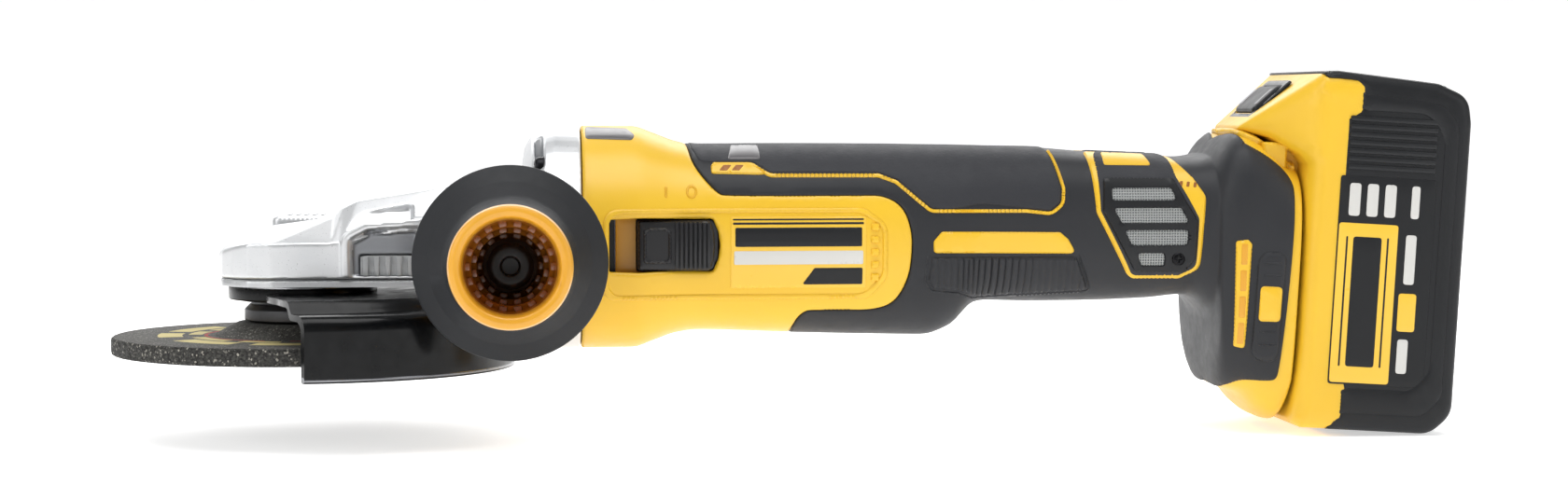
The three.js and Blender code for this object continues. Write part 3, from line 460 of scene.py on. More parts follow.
def monotone(x, y):
    """A smooth curve through the points that never overshoots them."""
    step = np.diff(x)
    slope = np.diff(y) / step
    tangent = np.zeros(len(x))
    for i in range(1, len(x) - 1):
        if slope[i - 1] * slope[i] > 0:
            tangent[i] = 2 * slope[i - 1] * slope[i] / (slope[i - 1] + slope[i])
    tangent[0] = slope[0]
    tangent[-1] = slope[-1]

    def curve(at):
        at = np.clip(at, x[0], x[-1])
        i = np.clip(np.searchsorted(x, at) - 1, 0, len(step) - 1)
        t = (at - x[i]) / step[i]
        first = y[i] * (1 + 2 * t) * (1 - t) ** 2 + tangent[i] * step[i] * t * (1 - t) ** 2
        return first + y[i + 1] * t ** 2 * (3 - 2 * t) + tangent[i + 1] * step[i] * t ** 2 * (t - 1)
    return curve


LOW, HIGH, HALF, SQUARE = [monotone(SECTIONS[:, 0], SECTIONS[:, k]) for k in (1, 2, 3, 4)]
FINE_X = np.linspace(SECTIONS[0, 0], SECTIONS[-1, 0], 2400)
FINE_RUN = np.concatenate([[0], np.cumsum(np.hypot(np.diff(FINE_X), 0.8 * np.diff(LOW(FINE_X))))])


def run_of(x):
    """Distance along the body from its front, at x."""
    return np.interp(x, FINE_X, FINE_RUN)


def x_of(run):
    """The x at a distance along the body."""
    return np.interp(run, FINE_RUN, FINE_X)


def skin_point(x, angle):
    """A point of the body at x; angle 0 is the top centre and +90 degrees the left side."""
    middle = (LOW(x) + HIGH(x)) / 2
    tall = (HIGH(x) - LOW(x)) / 2
    power = SQUARE(x)
    reach = (np.abs(np.cos(angle)) ** power + np.abs(np.sin(angle)) ** power) ** (-1 / power)
    return np.stack([x, -HALF(x) * reach * np.sin(angle), middle + tall * reach * np.cos(angle)], axis=-1)


def skin(run, around, rise):
    """Points of the body surface at (distance along, distance around), lifted by rise along the normal."""
    angle = around / GIRTH
    at = skin_point(x_of(run), angle)
    e = 0.25
    along = skin_point(x_of(run + e), angle) - skin_point(x_of(run - e), angle)
    across = skin_point(x_of(run), angle + e / GIRTH) - skin_point(x_of(run), angle - e / GIRTH)
    normal = np.cross(across, along)
    normal /= np.maximum(np.linalg.norm(normal, axis=-1, keepdims=True), 1e-9)
    outward = at - np.stack([at[..., 0], 0 * at[..., 1], (LOW(at[..., 0]) + HIGH(at[..., 0])) / 2], axis=-1)
    normal *= np.sign(np.sum(normal * outward, axis=-1, keepdims=True))
    return at + normal * np.asarray(rise)[..., None]


def side_spot(x, z):
    """The place on the left side's surface that is seen at x, z, as (distance along, distance around)."""
    middle = (LOW(x) + HIGH(x)) / 2
    tall = (HIGH(x) - LOW(x)) / 2
    up = float(np.clip((z - middle) / tall, -1, 1))
    out = max(1 - abs(up) ** SQUARE(x), 0) ** (1 / SQUARE(x))
    return float(run_of(x)), math.atan2(out, up) * GIRTH


def top_spot(x):
    """The place on the top centre line at x."""
    return float(run_of(x)), 0.0


def bottom_spot(x):
    """The place on the bottom centre line at x."""
    return float(run_of(x)), ROUND


def filled_in(points, spacing=1.4, closed=True):
    """The same line with more points on it, so it stays straight in the side view once on the surface."""
    out = []
    count = len(points)
    for i in range(count if closed else count - 1):
        (x0, z0), (x1, z1) = points[i], points[(i + 1) % count]
        parts = max(1, math.ceil(math.hypot(x1 - x0, z1 - z0) / spacing))
        out += [(x0 + (x1 - x0) * k / parts, z0 + (z1 - z0) * k / parts) for k in range(parts)]
    return out if closed else out + [points[-1]]


def eased(points, passes=2):
    """An open line with its corners cut again and again until it runs smoothly; the ends stay."""
    for _ in range(passes):
        cut = [points[0]]
        for (x0, z0), (x1, z1) in zip(points[:-1], points[1:]):
            cut.append((0.75 * x0 + 0.25 * x1, 0.75 * z0 + 0.25 * z1))
            cut.append((0.25 * x0 + 0.75 * x1, 0.25 * z0 + 0.75 * z1))
        points = cut + [points[-1]]
    return points


def side_line(points):
    """An open line of the side view as places on the surface."""
    return [side_spot(x, z) for x, z in filled_in(points, closed=False)]


def side_loop(points, corner=2.0, steps=5):
    """A closed outline of the side view, corners rounded, as places on the surface."""
    return [side_spot(x, z) for x, z in filled_in(rounded(points, corner, steps))]


def side_band(points, width, corner=4.0):
    """A strip along a line of the side view as places on the surface."""
    return [side_spot(x, z) for x, z in filled_in(band(points, width, corner))]


def resample(loop, spacing):
    """The loop with no gap between its points longer than spacing."""
    out = []
    for i, p in enumerate(loop):
        q = loop[(i + 1) % len(loop)]
        length = math.hypot(q[0] - p[0], q[1] - p[1])
        if length < 1e-6:
            continue
        parts = max(1, math.ceil(length / spacing))
        out += [(p[0] + (q[0] - p[0]) * k / parts, p[1] + (q[1] - p[1]) * k / parts) for k in range(parts)]
    return out


def inside_loops(points, loops):
    """True for each point that an odd number of loops surrounds."""
    result = np.zeros(len(points), bool)
    for loop in loops:
        a = np.array(loop)
        b = np.roll(a, -1, axis=0)
        px = points[:, 0][:, None]
        py = points[:, 1][:, None]
        straddles = (a[:, 1] > py) != (b[:, 1] > py)
        rise = np.where(np.abs(b[:, 1] - a[:, 1]) < 1e-12, 1e-12, b[:, 1] - a[:, 1])
        hits = straddles & (px < (b[:, 0] - a[:, 0]) * (py - a[:, 1]) / rise + a[:, 0])
        result ^= (hits.sum(axis=1) % 2).astype(bool)
    return result


def distance_to(points, a, b):
    """Distance from each point to the nearest of the segments a to b."""
    best = np.full(len(points), 1e9)
    span = b - a
    square = np.maximum((span ** 2).sum(axis=1), 1e-12)
    for start in range(0, len(points), 2000):
        p = points[start:start + 2000]
        t = np.clip(((p[:, None] - a) * span).sum(axis=2) / square, 0, 1)
        gap = np.linalg.norm(p[:, None] - (a + t[..., None] * span), axis=2)
        best[start:start + 2000] = gap.min(axis=1)
    return best


def patch(name, loops, material, rise=0.6, rim=0.8, depth=0.6, spacing=2.4, right=False, surface=skin,
          relief=None, seam=None, base=0.0, **extra):
    """A closed plate on a curved surface: outer loop first, then holes; its real edges are rounded.
    seam is a test for loop points that lie on a joint with another piece and keep their full height."""
    loops = [resample(loop, min(1.5, spacing)) for loop in loops]
    starts, ends, walls = [], [], []
    for loop in loops:
        for i, p in enumerate(loop):
            q = loop[(i + 1) % len(loop)]
            if not (seam and seam(p) and seam(q)):
                starts.append(p)
                ends.append(q)
    a, b = np.array(starts), np.array(ends)
    corners = [p for loop in loops for p in loop]
    edges, first = [], 0
    for loop in loops:
        edges += [(first + i, first + (i + 1) % len(loop)) for i in range(len(loop))]
        first += len(loop)
    candidates = []
    middle = (a + b) / 2
    span = b - a
    normal = np.stack([-span[:, 1], span[:, 0]], axis=1)
    normal /= np.maximum(np.linalg.norm(normal, axis=1, keepdims=True), 1e-9)
    for share in (0.12, 0.42, 1.0):
        for sign in (1, -1):
            ring = middle + sign * normal * rim * share
            keep = inside_loops(ring, loops)
            ring = ring[keep]
            if len(ring):
                candidates.append(ring[distance_to(ring, a, b) > rim * share * 0.93])
    low = np.array(corners).min(axis=0)
    high = np.array(corners).max(axis=0)
    step = spacing if relief is None else relief[1]
    gx, gy = np.meshgrid(np.arange(low[0] + step / 2, high[0], step),
        np.arange(low[1] + spacing / 2, high[1], spacing if relief is None else 1.2))
    grid = np.stack([gx.ravel(), gy.ravel()], axis=1)
    grid = grid[inside_loops(grid, loops)]
    if len(grid):
        every_a = np.array(corners)
        gap = distance_to(grid, a, b)
        candidates.append(grid[gap > rim + 0.3 * step])
        if seam:
            inner = candidates[-1]
            near = distance_to(inner, every_a, every_a + 1e-6)
            candidates[-1] = inner[near > 0.4]
    points = np.concatenate([np.array(corners)] + [c for c in candidates if len(c)])
    result = delaunay_2d_cdt([Vector(p) for p in points], edges, [], 0, 1e-5)
    flat = np.array([tuple(v) for v in result[0]])
    faces = [f for f in result[2] if len(f) == 3]
    centres = np.array([flat[list(f)].mean(axis=0) for f in faces])
    faces = [f for f, ok in zip(faces, inside_loops(centres, loops)) if ok]
    gap = np.minimum(distance_to(flat, a, b), rim)
    lift = rise * np.sqrt(np.clip(1 - (1 - gap / rim) ** 2, 0, 1)) if rim else np.full(len(flat), rise)
    if relief is not None:
        lift = lift + np.where(gap >= rim * 0.99, relief[0](flat), 0)
    lift = lift + base
    around = -flat[:, 1] if right else flat[:, 1]
    top = surface(flat[:, 0], around, lift)
    under = surface(flat[:, 0], around, np.full(len(flat), -depth))
    count = len(flat)
    out = [tuple(f) for f in faces] + [tuple(count + i for i in reversed(f)) for f in faces]
    used = {(f[i], f[(i + 1) % 3]): True for f in faces for i in range(3)}
    for i, j in used:
        if (j, i) not in used:
            on_seam = seam and seam(flat[i]) and seam(flat[j])
            if not on_seam or extra.get("shut", True):
                out.append((j, i, count + i, count + j))
    extra.pop("shut", None)
    return make_piece(name, [tuple(p) for p in top] + [tuple(p) for p in under], out, material, **extra)


def on_top(point):
    """True on the top or bottom centre line, where the two halves meet."""
    return abs(abs(point[1]) - ROUND) < 1e-3 or abs(point[1]) < 1e-3


def battery_plane_x(z):
    """Where the battery's front face stands at a height."""
    return 325.4 + (z + 25.7) * math.tan(math.radians(3.4))


# ------------------------------ yellow motor housing and its panel

PANEL_EDGE = [(127, 68.2), (128.2, 61.5), (135.6, 52.4), (139.1, 51.7), (183, 51.7), (190.5, 51.7),
    (196.8, 48.0), (199.7, 40.0), (199.7, 31.5), (198.4, 23.5), (194.2, 15.8), (187.5, 13.5), (179, 13.5),
    (168, 13.5), (165.2, 13.4), (162.6, 11.0), (161.3, 7.4)]
SLOT = rounded([(100.3, 26.7), (134.2, 26.7), (136.0, 31), (136.6, 35.5), (136.0, 40), (134.2, 44.4),
    (100.3, 44.4)], [0.8, 1.6, 3, 3, 3, 1.6, 0.8])


def panel_half(extra=0.0):
    """The side part of the panel's edge as surface spots, from the top of the body to its bottom."""
    half = side_line([(x - extra, z) for x, z in eased(PANEL_EDGE, 3)])
    top = [top_spot(126.6 - extra), (float(run_of(126.7 - extra)), half[0][1] * 0.5)]
    bottom = [(float(run_of(161.2 - extra)), (half[-1][1] + ROUND) / 2),
              bottom_spot(161.1 - extra)]
    return top + half + bottom


front = float(run_of(91.95))
for right_side, tag in ((False, "left"), (True, "right")):
    half = panel_half()
    outline = [(front, 0.0)] + half + [(front, ROUND)]
    holes = [] if right_side else [[side_spot(x, z) for x, z in SLOT]]
    patch("motor_housing_shell_" + tag, [outline] + holes, YELLOW, base=-0.7, rise=0.7, rim=0.9, depth=1.6,
        spacing=2.2, right=right_side, seam=on_top, replaces=("motor_housing",), smooth=50, shut=False)


# ------------------------------ black handle shells

FOOT_EDGE = [(305.9, -12.7), (309, -10.6), (313, -10.2), (318.0, -10.3), (320.6, -9.8), (321.4, -6),
    (324.6, 22.8), (326.8, 51), (326.6, 56), (324.0, 60.0), (318.5, 64.6), (311.5, 68.6)]


def foot_half():
    """The side part of the black shell's rear edge as surface spots, from the bottom to the top."""
    half = side_line(eased(FOOT_EDGE, 2))
    return [bottom_spot(304.6)] + half + [top_spot(306.2)]


ACCENT = [(134.6, 61.5), (147.5, 61.5), (153.1, 58), (189, 57.9), (194.7, 55.8), (201.8, 49.8),
    (206.1, 46.3), (238, 46.2), (246.4, 45.3), (250.3, 48.5), (250.6, 53.7), (247.6, 65.6)]
SIDE_BAR = [(206.8, 32.5), (206.8, 36.4), (209.6, 39.6), (249.3, 39.2), (252, 36.9), (254.9, 32)]
RIB_PANEL = [(206.2, 31.2), (205.1, 23.7), (206.9, 20.9), (215.4, 20.1), (221.8, 17.9), (259.6, 20),
    (254.9, 31.0)]
FILTER_RING = [(261.0, 65.0), (259.6, 64.9), (261.4, 45.5), (271.8, 25.3), (273.7, 23.7), (289.6, 23.7),
    (296.1, 26.7), (297.9, 50.9), (294.3, 56.7), (288.4, 63.4)]
FILTER_BLACK = [(261.7, 65.0), (262.7, 46.0), (273.2, 25.6), (274.6, 24.9), (289.2, 24.9), (294.9, 27.6),
    (295.8, 43.6), (292.0, 50.6), (288.4, 57.0), (287.0, 64.0)]
FILTER_COVER = [(263.8, 56.6), (287.3, 56.4), (291.0, 49.7), (295.2, 42.9), (294.7, 30.4), (291.1, 26.1),
    (274.3, 26.2), (263.4, 45.8)]
FILTER_WINDOWS = [
    [(266.7, 53.4), (286.2, 53.4), (288.0, 49.6), (266.7, 49.6)],
    [(267.1, 47.0), (289.4, 47.0), (292.1, 42.2), (269.9, 42.2)],
    [(270.8, 39.7), (291.8, 39.7), (291.4, 34.9), (273.3, 34.9)],
    [(275.1, 32.1), (284.0, 32.1), (284.0, 28.3), (276.5, 28.3)],
]
MESH_WINDOW = [(265.6, 54.6), (287.4, 54.6), (293.2, 42.6), (292.9, 33.8), (285.2, 33.0), (285.2, 27.2),
    (275.4, 27.2), (265.6, 45.0)]
RIB_PITCH = 2.3


def rib_waves(flat):
    """Height of the raised upright ribs on the lower side panel."""
    wave = np.abs(np.sin(math.pi * flat[:, 0] / RIB_PITCH))
    return 0.85 * np.sqrt(wave) - 0.2


for right_side, tag in ((False, "left"), (True, "right")):
    common = {"right": right_side}
    shell = panel_half(-0.25) + foot_half()
    patch("handle_shell_" + tag, [shell], RUBBER_SMOOTH, base=-0.35, rise=0.45, rim=0.7, depth=1.8,
        spacing=2.0, seam=on_top, replaces=("handle_shell_" + tag,), shut=False, **common)
    grip_top = [top_spot(128.0)] + [side_spot(x, z) for x, z in rounded([(128.1, 66.6), (130.4, 62.6),
        (134.6, 62.3), (147.9, 62.3), (153.4, 58.8), (189.2, 58.7), (195.2, 56.5), (202.2, 50.5),
        (206.4, 47.1), (238, 47.0), (246.0, 46.2), (249.4, 49.0), (249.7, 53.7), (246.9, 65.8)], 2.5, 4,
        closed=False)] + [top_spot(246.8)]
    patch("grip_texture_" + tag, [grip_top], RUBBER, base=0.0, rise=0.45, rim=0.6, depth=0.4, seam=on_top,
        replaces=("grip_sleeve_" + tag,), shut=False, **common)
    patch("accent_line_" + tag, [side_band(ACCENT, 1.15)], YELLOW, base=0.05, rise=0.6,
          rim=0.35, depth=0.5, **common)
    wedge = [(134.0, 58.6), (134.0, 61.6), (147.4, 61.5), (152.6, 58.2)]
    patch("accent_block_" + tag, [side_loop(wedge, 0.8)], YELLOW, rise=0.7, rim=0.5, depth=0.5, **common)
    for k, x in enumerate((136.6, 140.6)):
        mark = [(x, 59.3), (x + 1.6, 61.0), (x + 4.2, 61.0), (x + 2.6, 59.3)]
        patch("accent_mark_{}_{}".format(k + 1, tag), [side_loop(mark, 0.2)], ORANGE_DEEP, base=0.7,
            rise=0.12, rim=0.2, depth=-0.5, **common)
    patch("side_bar_" + tag, [side_loop(SIDE_BAR, 1.5)], YELLOW, rise=0.75, rim=0.8, depth=0.5, **common)
    patch("side_ribs_" + tag, [side_loop(RIB_PANEL, 1.0)], RUBBER_SMOOTH, base=0.0, rise=0.3, rim=0.5,
        depth=0.5, relief=(rib_waves, 0.38), smooth=60, **common)
    border = [(255.6, 31.6), (260.6, 19.2), (221.6, 16.9), (215.2, 19.1), (206.4, 19.9), (204.0, 23.4),
              (205.0, 31.6)]
    patch("rib_border_" + tag, [side_band(border, 0.8, 1.5)], RUBBER_SMOOTH, rise=0.35,
          rim=0.3, depth=0.4, **common)
    patch("filter_frame_" + tag, [side_loop(FILTER_RING, 4.0)], YELLOW, rise=0.7, rim=0.6, depth=0.8,
        **common)
    patch("filter_bed_" + tag, [side_loop(FILTER_BLACK, 3.2)], RUBBER, base=0.55, rise=0.3, rim=0.3,
        depth=0.2, slot="black_plastic", **common)
    holes = [side_loop(w, 0.9, 3) for w in FILTER_WINDOWS]
    patch("filter_cover_plate_" + tag, [side_loop(FILTER_COVER, 1.5)] + holes, BLACK, base=0.75, rise=0.75,
          rim=0.45, depth=-0.6, spacing=1.8, replaces=("filter_cover_" + tag,), **common)
    patch("filter_cloth_" + tag, [side_loop(MESH_WINDOW, 1.0)], MESH_CLOTH, base=0.86, rise=0.08, rim=0.3,
          depth=-0.5, spacing=1.5, **common)
    badge = [(264.8, 60.6), (265.2, 64.4), (279.4, 63.8), (280.8, 60.4)]
    patch("filter_badge_" + tag, [side_loop(badge, 0.8)], YELLOW, base=0.8, rise=0.3, rim=0.3, depth=-0.6,
        **common)
    for k in range(3):
        x = 289.2 + 2.3 * k
        dot = [(x, 54.0 - 0.2 * k), (x + 0.4, 55.6 - 0.2 * k), (x + 1.4, 55.6 - 0.2 * k),
            (x + 1.0, 54.0 - 0.2 * k)]
        patch("filter_mark_{}_{}".format(k + 1, tag), [side_loop(dot, 0.2, 2)], ORANGE_DEEP, base=0.7,
            rise=0.1, rim=0.15, depth=-0.5, **common)
    foot_rear = []
    for share in np.linspace(1, 0, 40):
        angle = share * math.pi
        x = 330.0
        for _ in range(6):
            x = battery_plane_x(float(skin_point(np.array([x]), np.array([angle]))[0, 2])) - 0.5
        height = float(skin_point(np.array([x]), np.array([angle]))[0, 2])
        foot_rear.append((float(run_of(x - 0.13 * max(0.0, -11.0 - height))), angle * GIRTH))
    foot_front = [top_spot(305.2), side_spot(307.5, 67.0), side_spot(311.5, 40.0), side_spot(311.0, 0.0),
        side_spot(309.0, -7.0), side_spot(304.4, -10.5), bottom_spot(303.8)]
    patch("foot_shell_" + tag, [foot_front + foot_rear], YELLOW, base=-1.25, rise=0.5, rim=0.6, depth=2.4,
          spacing=1.8, seam=on_top, shut=False, **common)
    trim = [(304.6, 74.4), (311.2, 72.4), (319.2, 68.8), (325.8, 62.8), (329.2, 60.6)]
    patch("foot_trim_" + tag, [side_band(trim, 1.6, 2.0)], YELLOW, base=0.0, rise=0.7, rim=0.5, depth=1.0,
          spacing=1.4, **common)
    strip = [(306.6, 36.4), (310.6, 36.9), (311.9, 35.3), (309.9, 0.6), (306.2, 1.4)]
    patch("foot_strip_" + tag, [side_loop(strip, 1.2)], YELLOW, base=-0.1, rise=0.8, rim=0.6, depth=0.6,
        **common)
    for k in range(4):
        z = 2.4 + 8.7 * k
        x = 307.3 + 0.035 * z
        cell = [(x, z), (x + 2.0, z), (x + 2.2, z + 7.0), (x + 0.2, z + 7.0)]
        patch("foot_slot_{}_{}".format(k + 1, tag), [side_loop(cell, 0.5, 2)], RING_YELLOW, base=0.66,
            rise=0.1, rim=0.2, depth=-0.4, spacing=1.0, **common)
    bumper = [(314.0, 32.8), (323.6, 32.8), (320.6, -4.5), (311.7, -2.8)]
    patch("foot_bumper_" + tag, [side_loop(bumper, 5.0)], RUBBER_SMOOTH, base=0.0, rise=0.9, rim=1.4,
        depth=0.6, **common)
    for k, z in enumerate((1.8, 6.2, 24.6, 28.6)):
        x = 314.2 + 0.06 * z
        line = [(x, z), (x, z + 0.8), (x + 5.6, z + 0.8), (x + 5.6, z)]
        patch("bumper_line_{}_{}".format(k + 1, tag), [side_loop(line, 0.3, 2)], RUBBER_SMOOTH, base=0.85,
            rise=0.35, rim=0.35, depth=-0.5, spacing=1.2, **common)
    window = [(314.6, 21.6), (321.9, 21.2), (321.1, 9.6), (313.9, 9.8)]
    patch("bumper_window_" + tag, [side_loop(window, 1.6)], YELLOW, base=0.8, rise=0.5, rim=0.6, depth=-0.4,
        **common)

# ------------------------------ front side of the housing: frame, switch, label



def plane_surface(place):
    """A flat surface for patch(): along and around are the plane's own two directions."""
    turn = np.array(place.to_3x3())
    origin = np.array(place.translation)

    def at(first, second, height):
        return np.stack([first, second, np.asarray(height) + 0 * first], axis=-1) @ turn.T + origin
    return at


FRAME_OUT = [(98.2, 20.0), (98.2, 47.6), (184.0, 47.6), (191.6, 42.0), (191.6, 24.5), (185.5, 17.6),
    (101, 17.6)]
FRAME_IN = [(100.0, 22.6), (100.0, 45.9), (182.6, 45.9), (189.8, 41.2), (189.8, 25.5), (183.8, 19.4),
    (102, 19.4)]
patch("panel_frame", [side_loop(FRAME_OUT, 6.0), side_loop(FRAME_IN, 5.0)], YELLOW, rise=0.55, rim=0.8,
    depth=0.4)
SLOT_GROWN = rounded([(98.9, 25.3), (135.4, 25.3), (137.6, 30.4), (138.2, 35.5), (137.6, 40.8),
    (135.4, 45.8), (98.9, 45.8)], 1.5)
side_plane = plane_surface(LEFT)
patch("switch_slot_wall", [SLOT_GROWN, SLOT], ORANGE_DEEP, surface=side_plane, base=30.6, rise=0.4, rim=0.5,
      depth=-27.0)
# Painted shade: the recess floor is yellow housing plastic, but it is given the darker orange core plastic
# so it looks shaded.
patch("switch_slot_floor", [rounded([(102.6, 26), (138, 26), (138, 45), (102.6, 45)], 0.6)], RING_YELLOW,
      surface=side_plane, base=27.2, rise=0.2, rim=0.5, depth=-26.6)
# Painted shade: a black sheet stands for the dark seen in the opening at the slot's front end.
patch("switch_slot_gap", [rounded([(98.9, 26), (102.4, 26), (102.4, 45), (98.9, 45)], 0.6)], BLACK,
      surface=side_plane, base=26.8, rise=0.2, rim=0.5, depth=-26.2)
patch("switch_slide_bed", [rounded([(109.2, 27.0), (136.4, 27.0), (136.4, 44.1), (109.2, 44.1)], 1)],
    BLACK_SHINY, surface=side_plane, base=28.4, rise=0.5, rim=0.5, depth=-27.3, body="switch_group")
thumb = rounded([(109.8, 27.3), (133.0, 27.3), (134.4, 31.0), (134.8, 35.5), (134.4, 40.0), (133.0, 43.7),
    (109.8, 43.7)], [1.2, 1.4, 3, 3, 3, 1.4, 1.2])
patch("switch_thumb", [thumb], SWITCH_BLACK, surface=side_plane, base=32.4, rise=1.4, rim=1.4, depth=-28.6,
      spacing=1.6, body="switch_group", replaces=("switch_slider",))
pad_out = rounded([(111.4, 29.6), (111.4, 41.4), (120.6, 41.4), (120.6, 29.6)], 1.6)
pad_in = rounded([(112.5, 30.7), (112.5, 40.3), (119.5, 40.3), (119.5, 30.7)], 1.2)
patch("switch_pad_frame", [pad_out, pad_in], SWITCH_BLACK, surface=side_plane, base=33.75, rise=0.5, rim=0.4,
      depth=-33.0, body="switch_group")
rib_shape = soft_block("rib_shape", 1.05, 1.5, 15.2, 0.35)
rib_places = [((122.3 + 1.48 * i, -33.9 - 0.9 * math.sin(math.pi * i / 7), 35.5), UPRIGHT,
    FULL_SIZE) for i in range(8)]
repeat("switch_ribs", rib_shape, rib_places, SWITCH_BLACK, body="switch_group")

LABEL = [("label_line_low", LABEL_DARK, (140.6, 42.2, 183.6, 42.9)), ("label_line_high", LABEL_DARK,
         (140.6, 43.6, 183.6, 44.1)), ("label_block", LABEL_DARK, (141.4, 35.0, 183.0, 41.2)),
         ("label_base", LABEL_YELLOW, (139.9, 21.4, 184.4, 44.8)), ("label_strip", LABEL_PALE,
         (141.0, 29.2, 183.4, 33.6)), ("label_corner", LABEL_DARK, (163.4, 22.6, 183.2, 28.0))]
for name, look, (x0, z0, x1, z1) in LABEL:
    lift = 0.1 if name == "label_base" else 0.3
    lean = 4.0 if name == "label_corner" else 0.0
    sheet = side_loop([(x0, z0), (x1, z0), (x1, z1), (x0 + lean, z1)], 0.5, 3)
    patch(name, [sheet], look, base=lift, rise=0.14, rim=0.25, depth=-0.01 + 0.3, spacing=2.0)
for k in range(5):
    z = 23.6 + 4.1 * k
    patch("panel_block_{}".format(k + 1), [side_loop([(186.0, z), (188.8, z), (188.8, z + 2.5),
        (186.0, z + 2.5)], 0.6, 3)], YELLOW, rise=0.8, rim=0.45, depth=0.4, spacing=1.2)
patch("mark_one", [side_loop([(118.4, 51.2), (119.3, 51.2), (119.3, 54.6), (118.4, 54.6)], 0.3, 2)],
      YELLOW_GRAINY, rise=0.3, rim=0.25, depth=0.3, spacing=1.0)
ring_out = [(127.3 + 1.9 * math.cos(a), 52.9 + 2.2 * math.sin(a)) for a in np.linspace(0, TAU, 24,
    endpoint=False)]
ring_in = [(127.3 + 1.1 * math.cos(a), 52.9 + 1.4 * math.sin(a)) for a in np.linspace(0, TAU, 24,
    endpoint=False)]
patch("mark_zero", [[side_spot(x, z) for x, z in ring_out], [side_spot(x, z) for x, z in ring_in]],
    YELLOW_GRAINY, rise=0.3, rim=0.25, depth=0.3, spacing=1.0)
badge = side_loop([(93.2, 70.0), (93.2, 73.7), (107.0, 73.2), (109.6, 71.2), (108.4, 69.6)], 1.0, 3)
patch("top_badge", [badge], LABEL_GREY, base=0.0, rise=0.3, rim=0.4, depth=0.3)
plate = side_loop([(139.6, 62.9), (141.4, 67.2), (150.4, 67.2), (150.4, 62.9)], 0.6, 3)
patch("grip_badge", [plate], LABEL_GREY, base=0.45, rise=0.3, rim=0.4, depth=0.2)

# ------------------------------ gear case

HEAD = [(-26.5, 11, 32.6, 9, 33.0), (-24.8, 18.5, 33.8, 12, 34.6), (-20.8, 24.2, 35.2, 14, 38.3),
        (-16, 27.6, 36.2, 15, 39.8), (-8, 29.5, 36.4, 16, 41.9), (11, 30.3, 36.6, 16, 44.4),
        (14, 30.4, 36.8, 16, 47.6), (18.8, 30.5, 38, 16, 49.8), (41.8, 30.5, 42, 18, 53.5),
        (76, 32, 46, 20, 58.6)]
MOTOR_Z = 37.1
HANDLE_X, HANDLE_Z, HANDLE_TILT = 68.5, 29.1, math.radians(2.4)
CASE_BOTTOM, COVER_BOTTOM = 25.0, 22.4


def handle_place(side=-1):
    """The frame of the side handle's axis; its Z runs outwards on one side of the head."""
    out = Vector((0, side * math.cos(HANDLE_TILT), -side * math.sin(HANDLE_TILT)))
    first = Vector((1, 0, 0))
    second = out.cross(first)
    turn = Matrix((first, second, out)).transposed()
    return Matrix.Translation((HANDLE_X, 0, HANDLE_Z)) @ turn.to_4x4()


def head_loft():
    """The flat head as sections from its front to the collar."""
    verts, faces = [], []
    for x, half, shoulder, roof, top in HEAD:
        verts += [(x, -half, CASE_BOTTOM), (x, -half, shoulder), (x, -roof, top), (x, roof, top),
                  (x, half, shoulder), (x, half, CASE_BOTTOM)]
    for i in range(len(HEAD) - 1):
        for k in range(6):
            n = (k + 1) % 6
            faces.append((6 * i + k, 6 * i + n, 6 * i + 6 + n, 6 * i + 6 + k))
    faces.append(tuple(range(6)))
    faces.append(tuple(6 * (len(HEAD) - 1) + k for k in range(6)))
    return verts, faces


def cube_mesh(x0, x1, y0, y1, z0, z1):
    """An upright block."""
    verts = [(x, y, z) for x in (x0, x1) for y in (y0, y1) for z in (z0, z1)]
    return verts, [(0, 1, 3, 2), (4, 6, 7, 5), (0, 4, 5, 1), (2, 3, 7, 6), (0, 2, 6, 4), (1, 5, 7, 3)]


def prism_mesh(outline, low, high, place):
    """An outline raised from low to high."""
    count = len(outline)
    verts = [tuple(place @ Vector((x, y, h))) for h in (low, high) for x, y in outline]
    faces = [(i, (i + 1) % count, count + (i + 1) % count, count + i) for i in range(count)]
    return verts, faces + [tuple(range(count)), tuple(range(count, 2 * count))]


def loose(name, shape):
    """A plain mesh object for adding to or cutting from another."""
    return make_piece(name, shape[0], shape[1], None, body=None, smooth=0)


def combined(target, others, operation):
    """Adds or cuts the other closed meshes on the target, one after another, and removes them."""
    for other in others:
        modifier = target.modifiers.new("shape", "BOOLEAN")
        modifier.object = other
        modifier.operation = operation
        modifier.solver = "EXACT"
        graph = bpy.context.evaluated_depsgraph_get()
        mesh = bpy.data.meshes.new_from_object(target.evaluated_get(graph))
        target.modifiers.remove(modifier)
        target.data = mesh
        bpy.data.objects.remove(other)


def cast_skin(target, voxel, passes, keep):
    """Rounds every edge of a joined block like a casting: even small cells, smoothing, then fewer faces."""
    remesh = target.modifiers.new("cells", "REMESH")
    remesh.mode = "VOXEL"
    remesh.voxel_size = voxel * MM
    ease = target.modifiers.new("ease", "SMOOTH")
    ease.factor = 0.5
    ease.iterations = passes
    fewer = target.modifiers.new("fewer", "DECIMATE")
    fewer.ratio = keep
    graph = bpy.context.evaluated_depsgraph_get()
    mesh = bpy.data.meshes.new_from_object(target.evaluated_get(graph))
    target.modifiers.clear()
    target.data = mesh


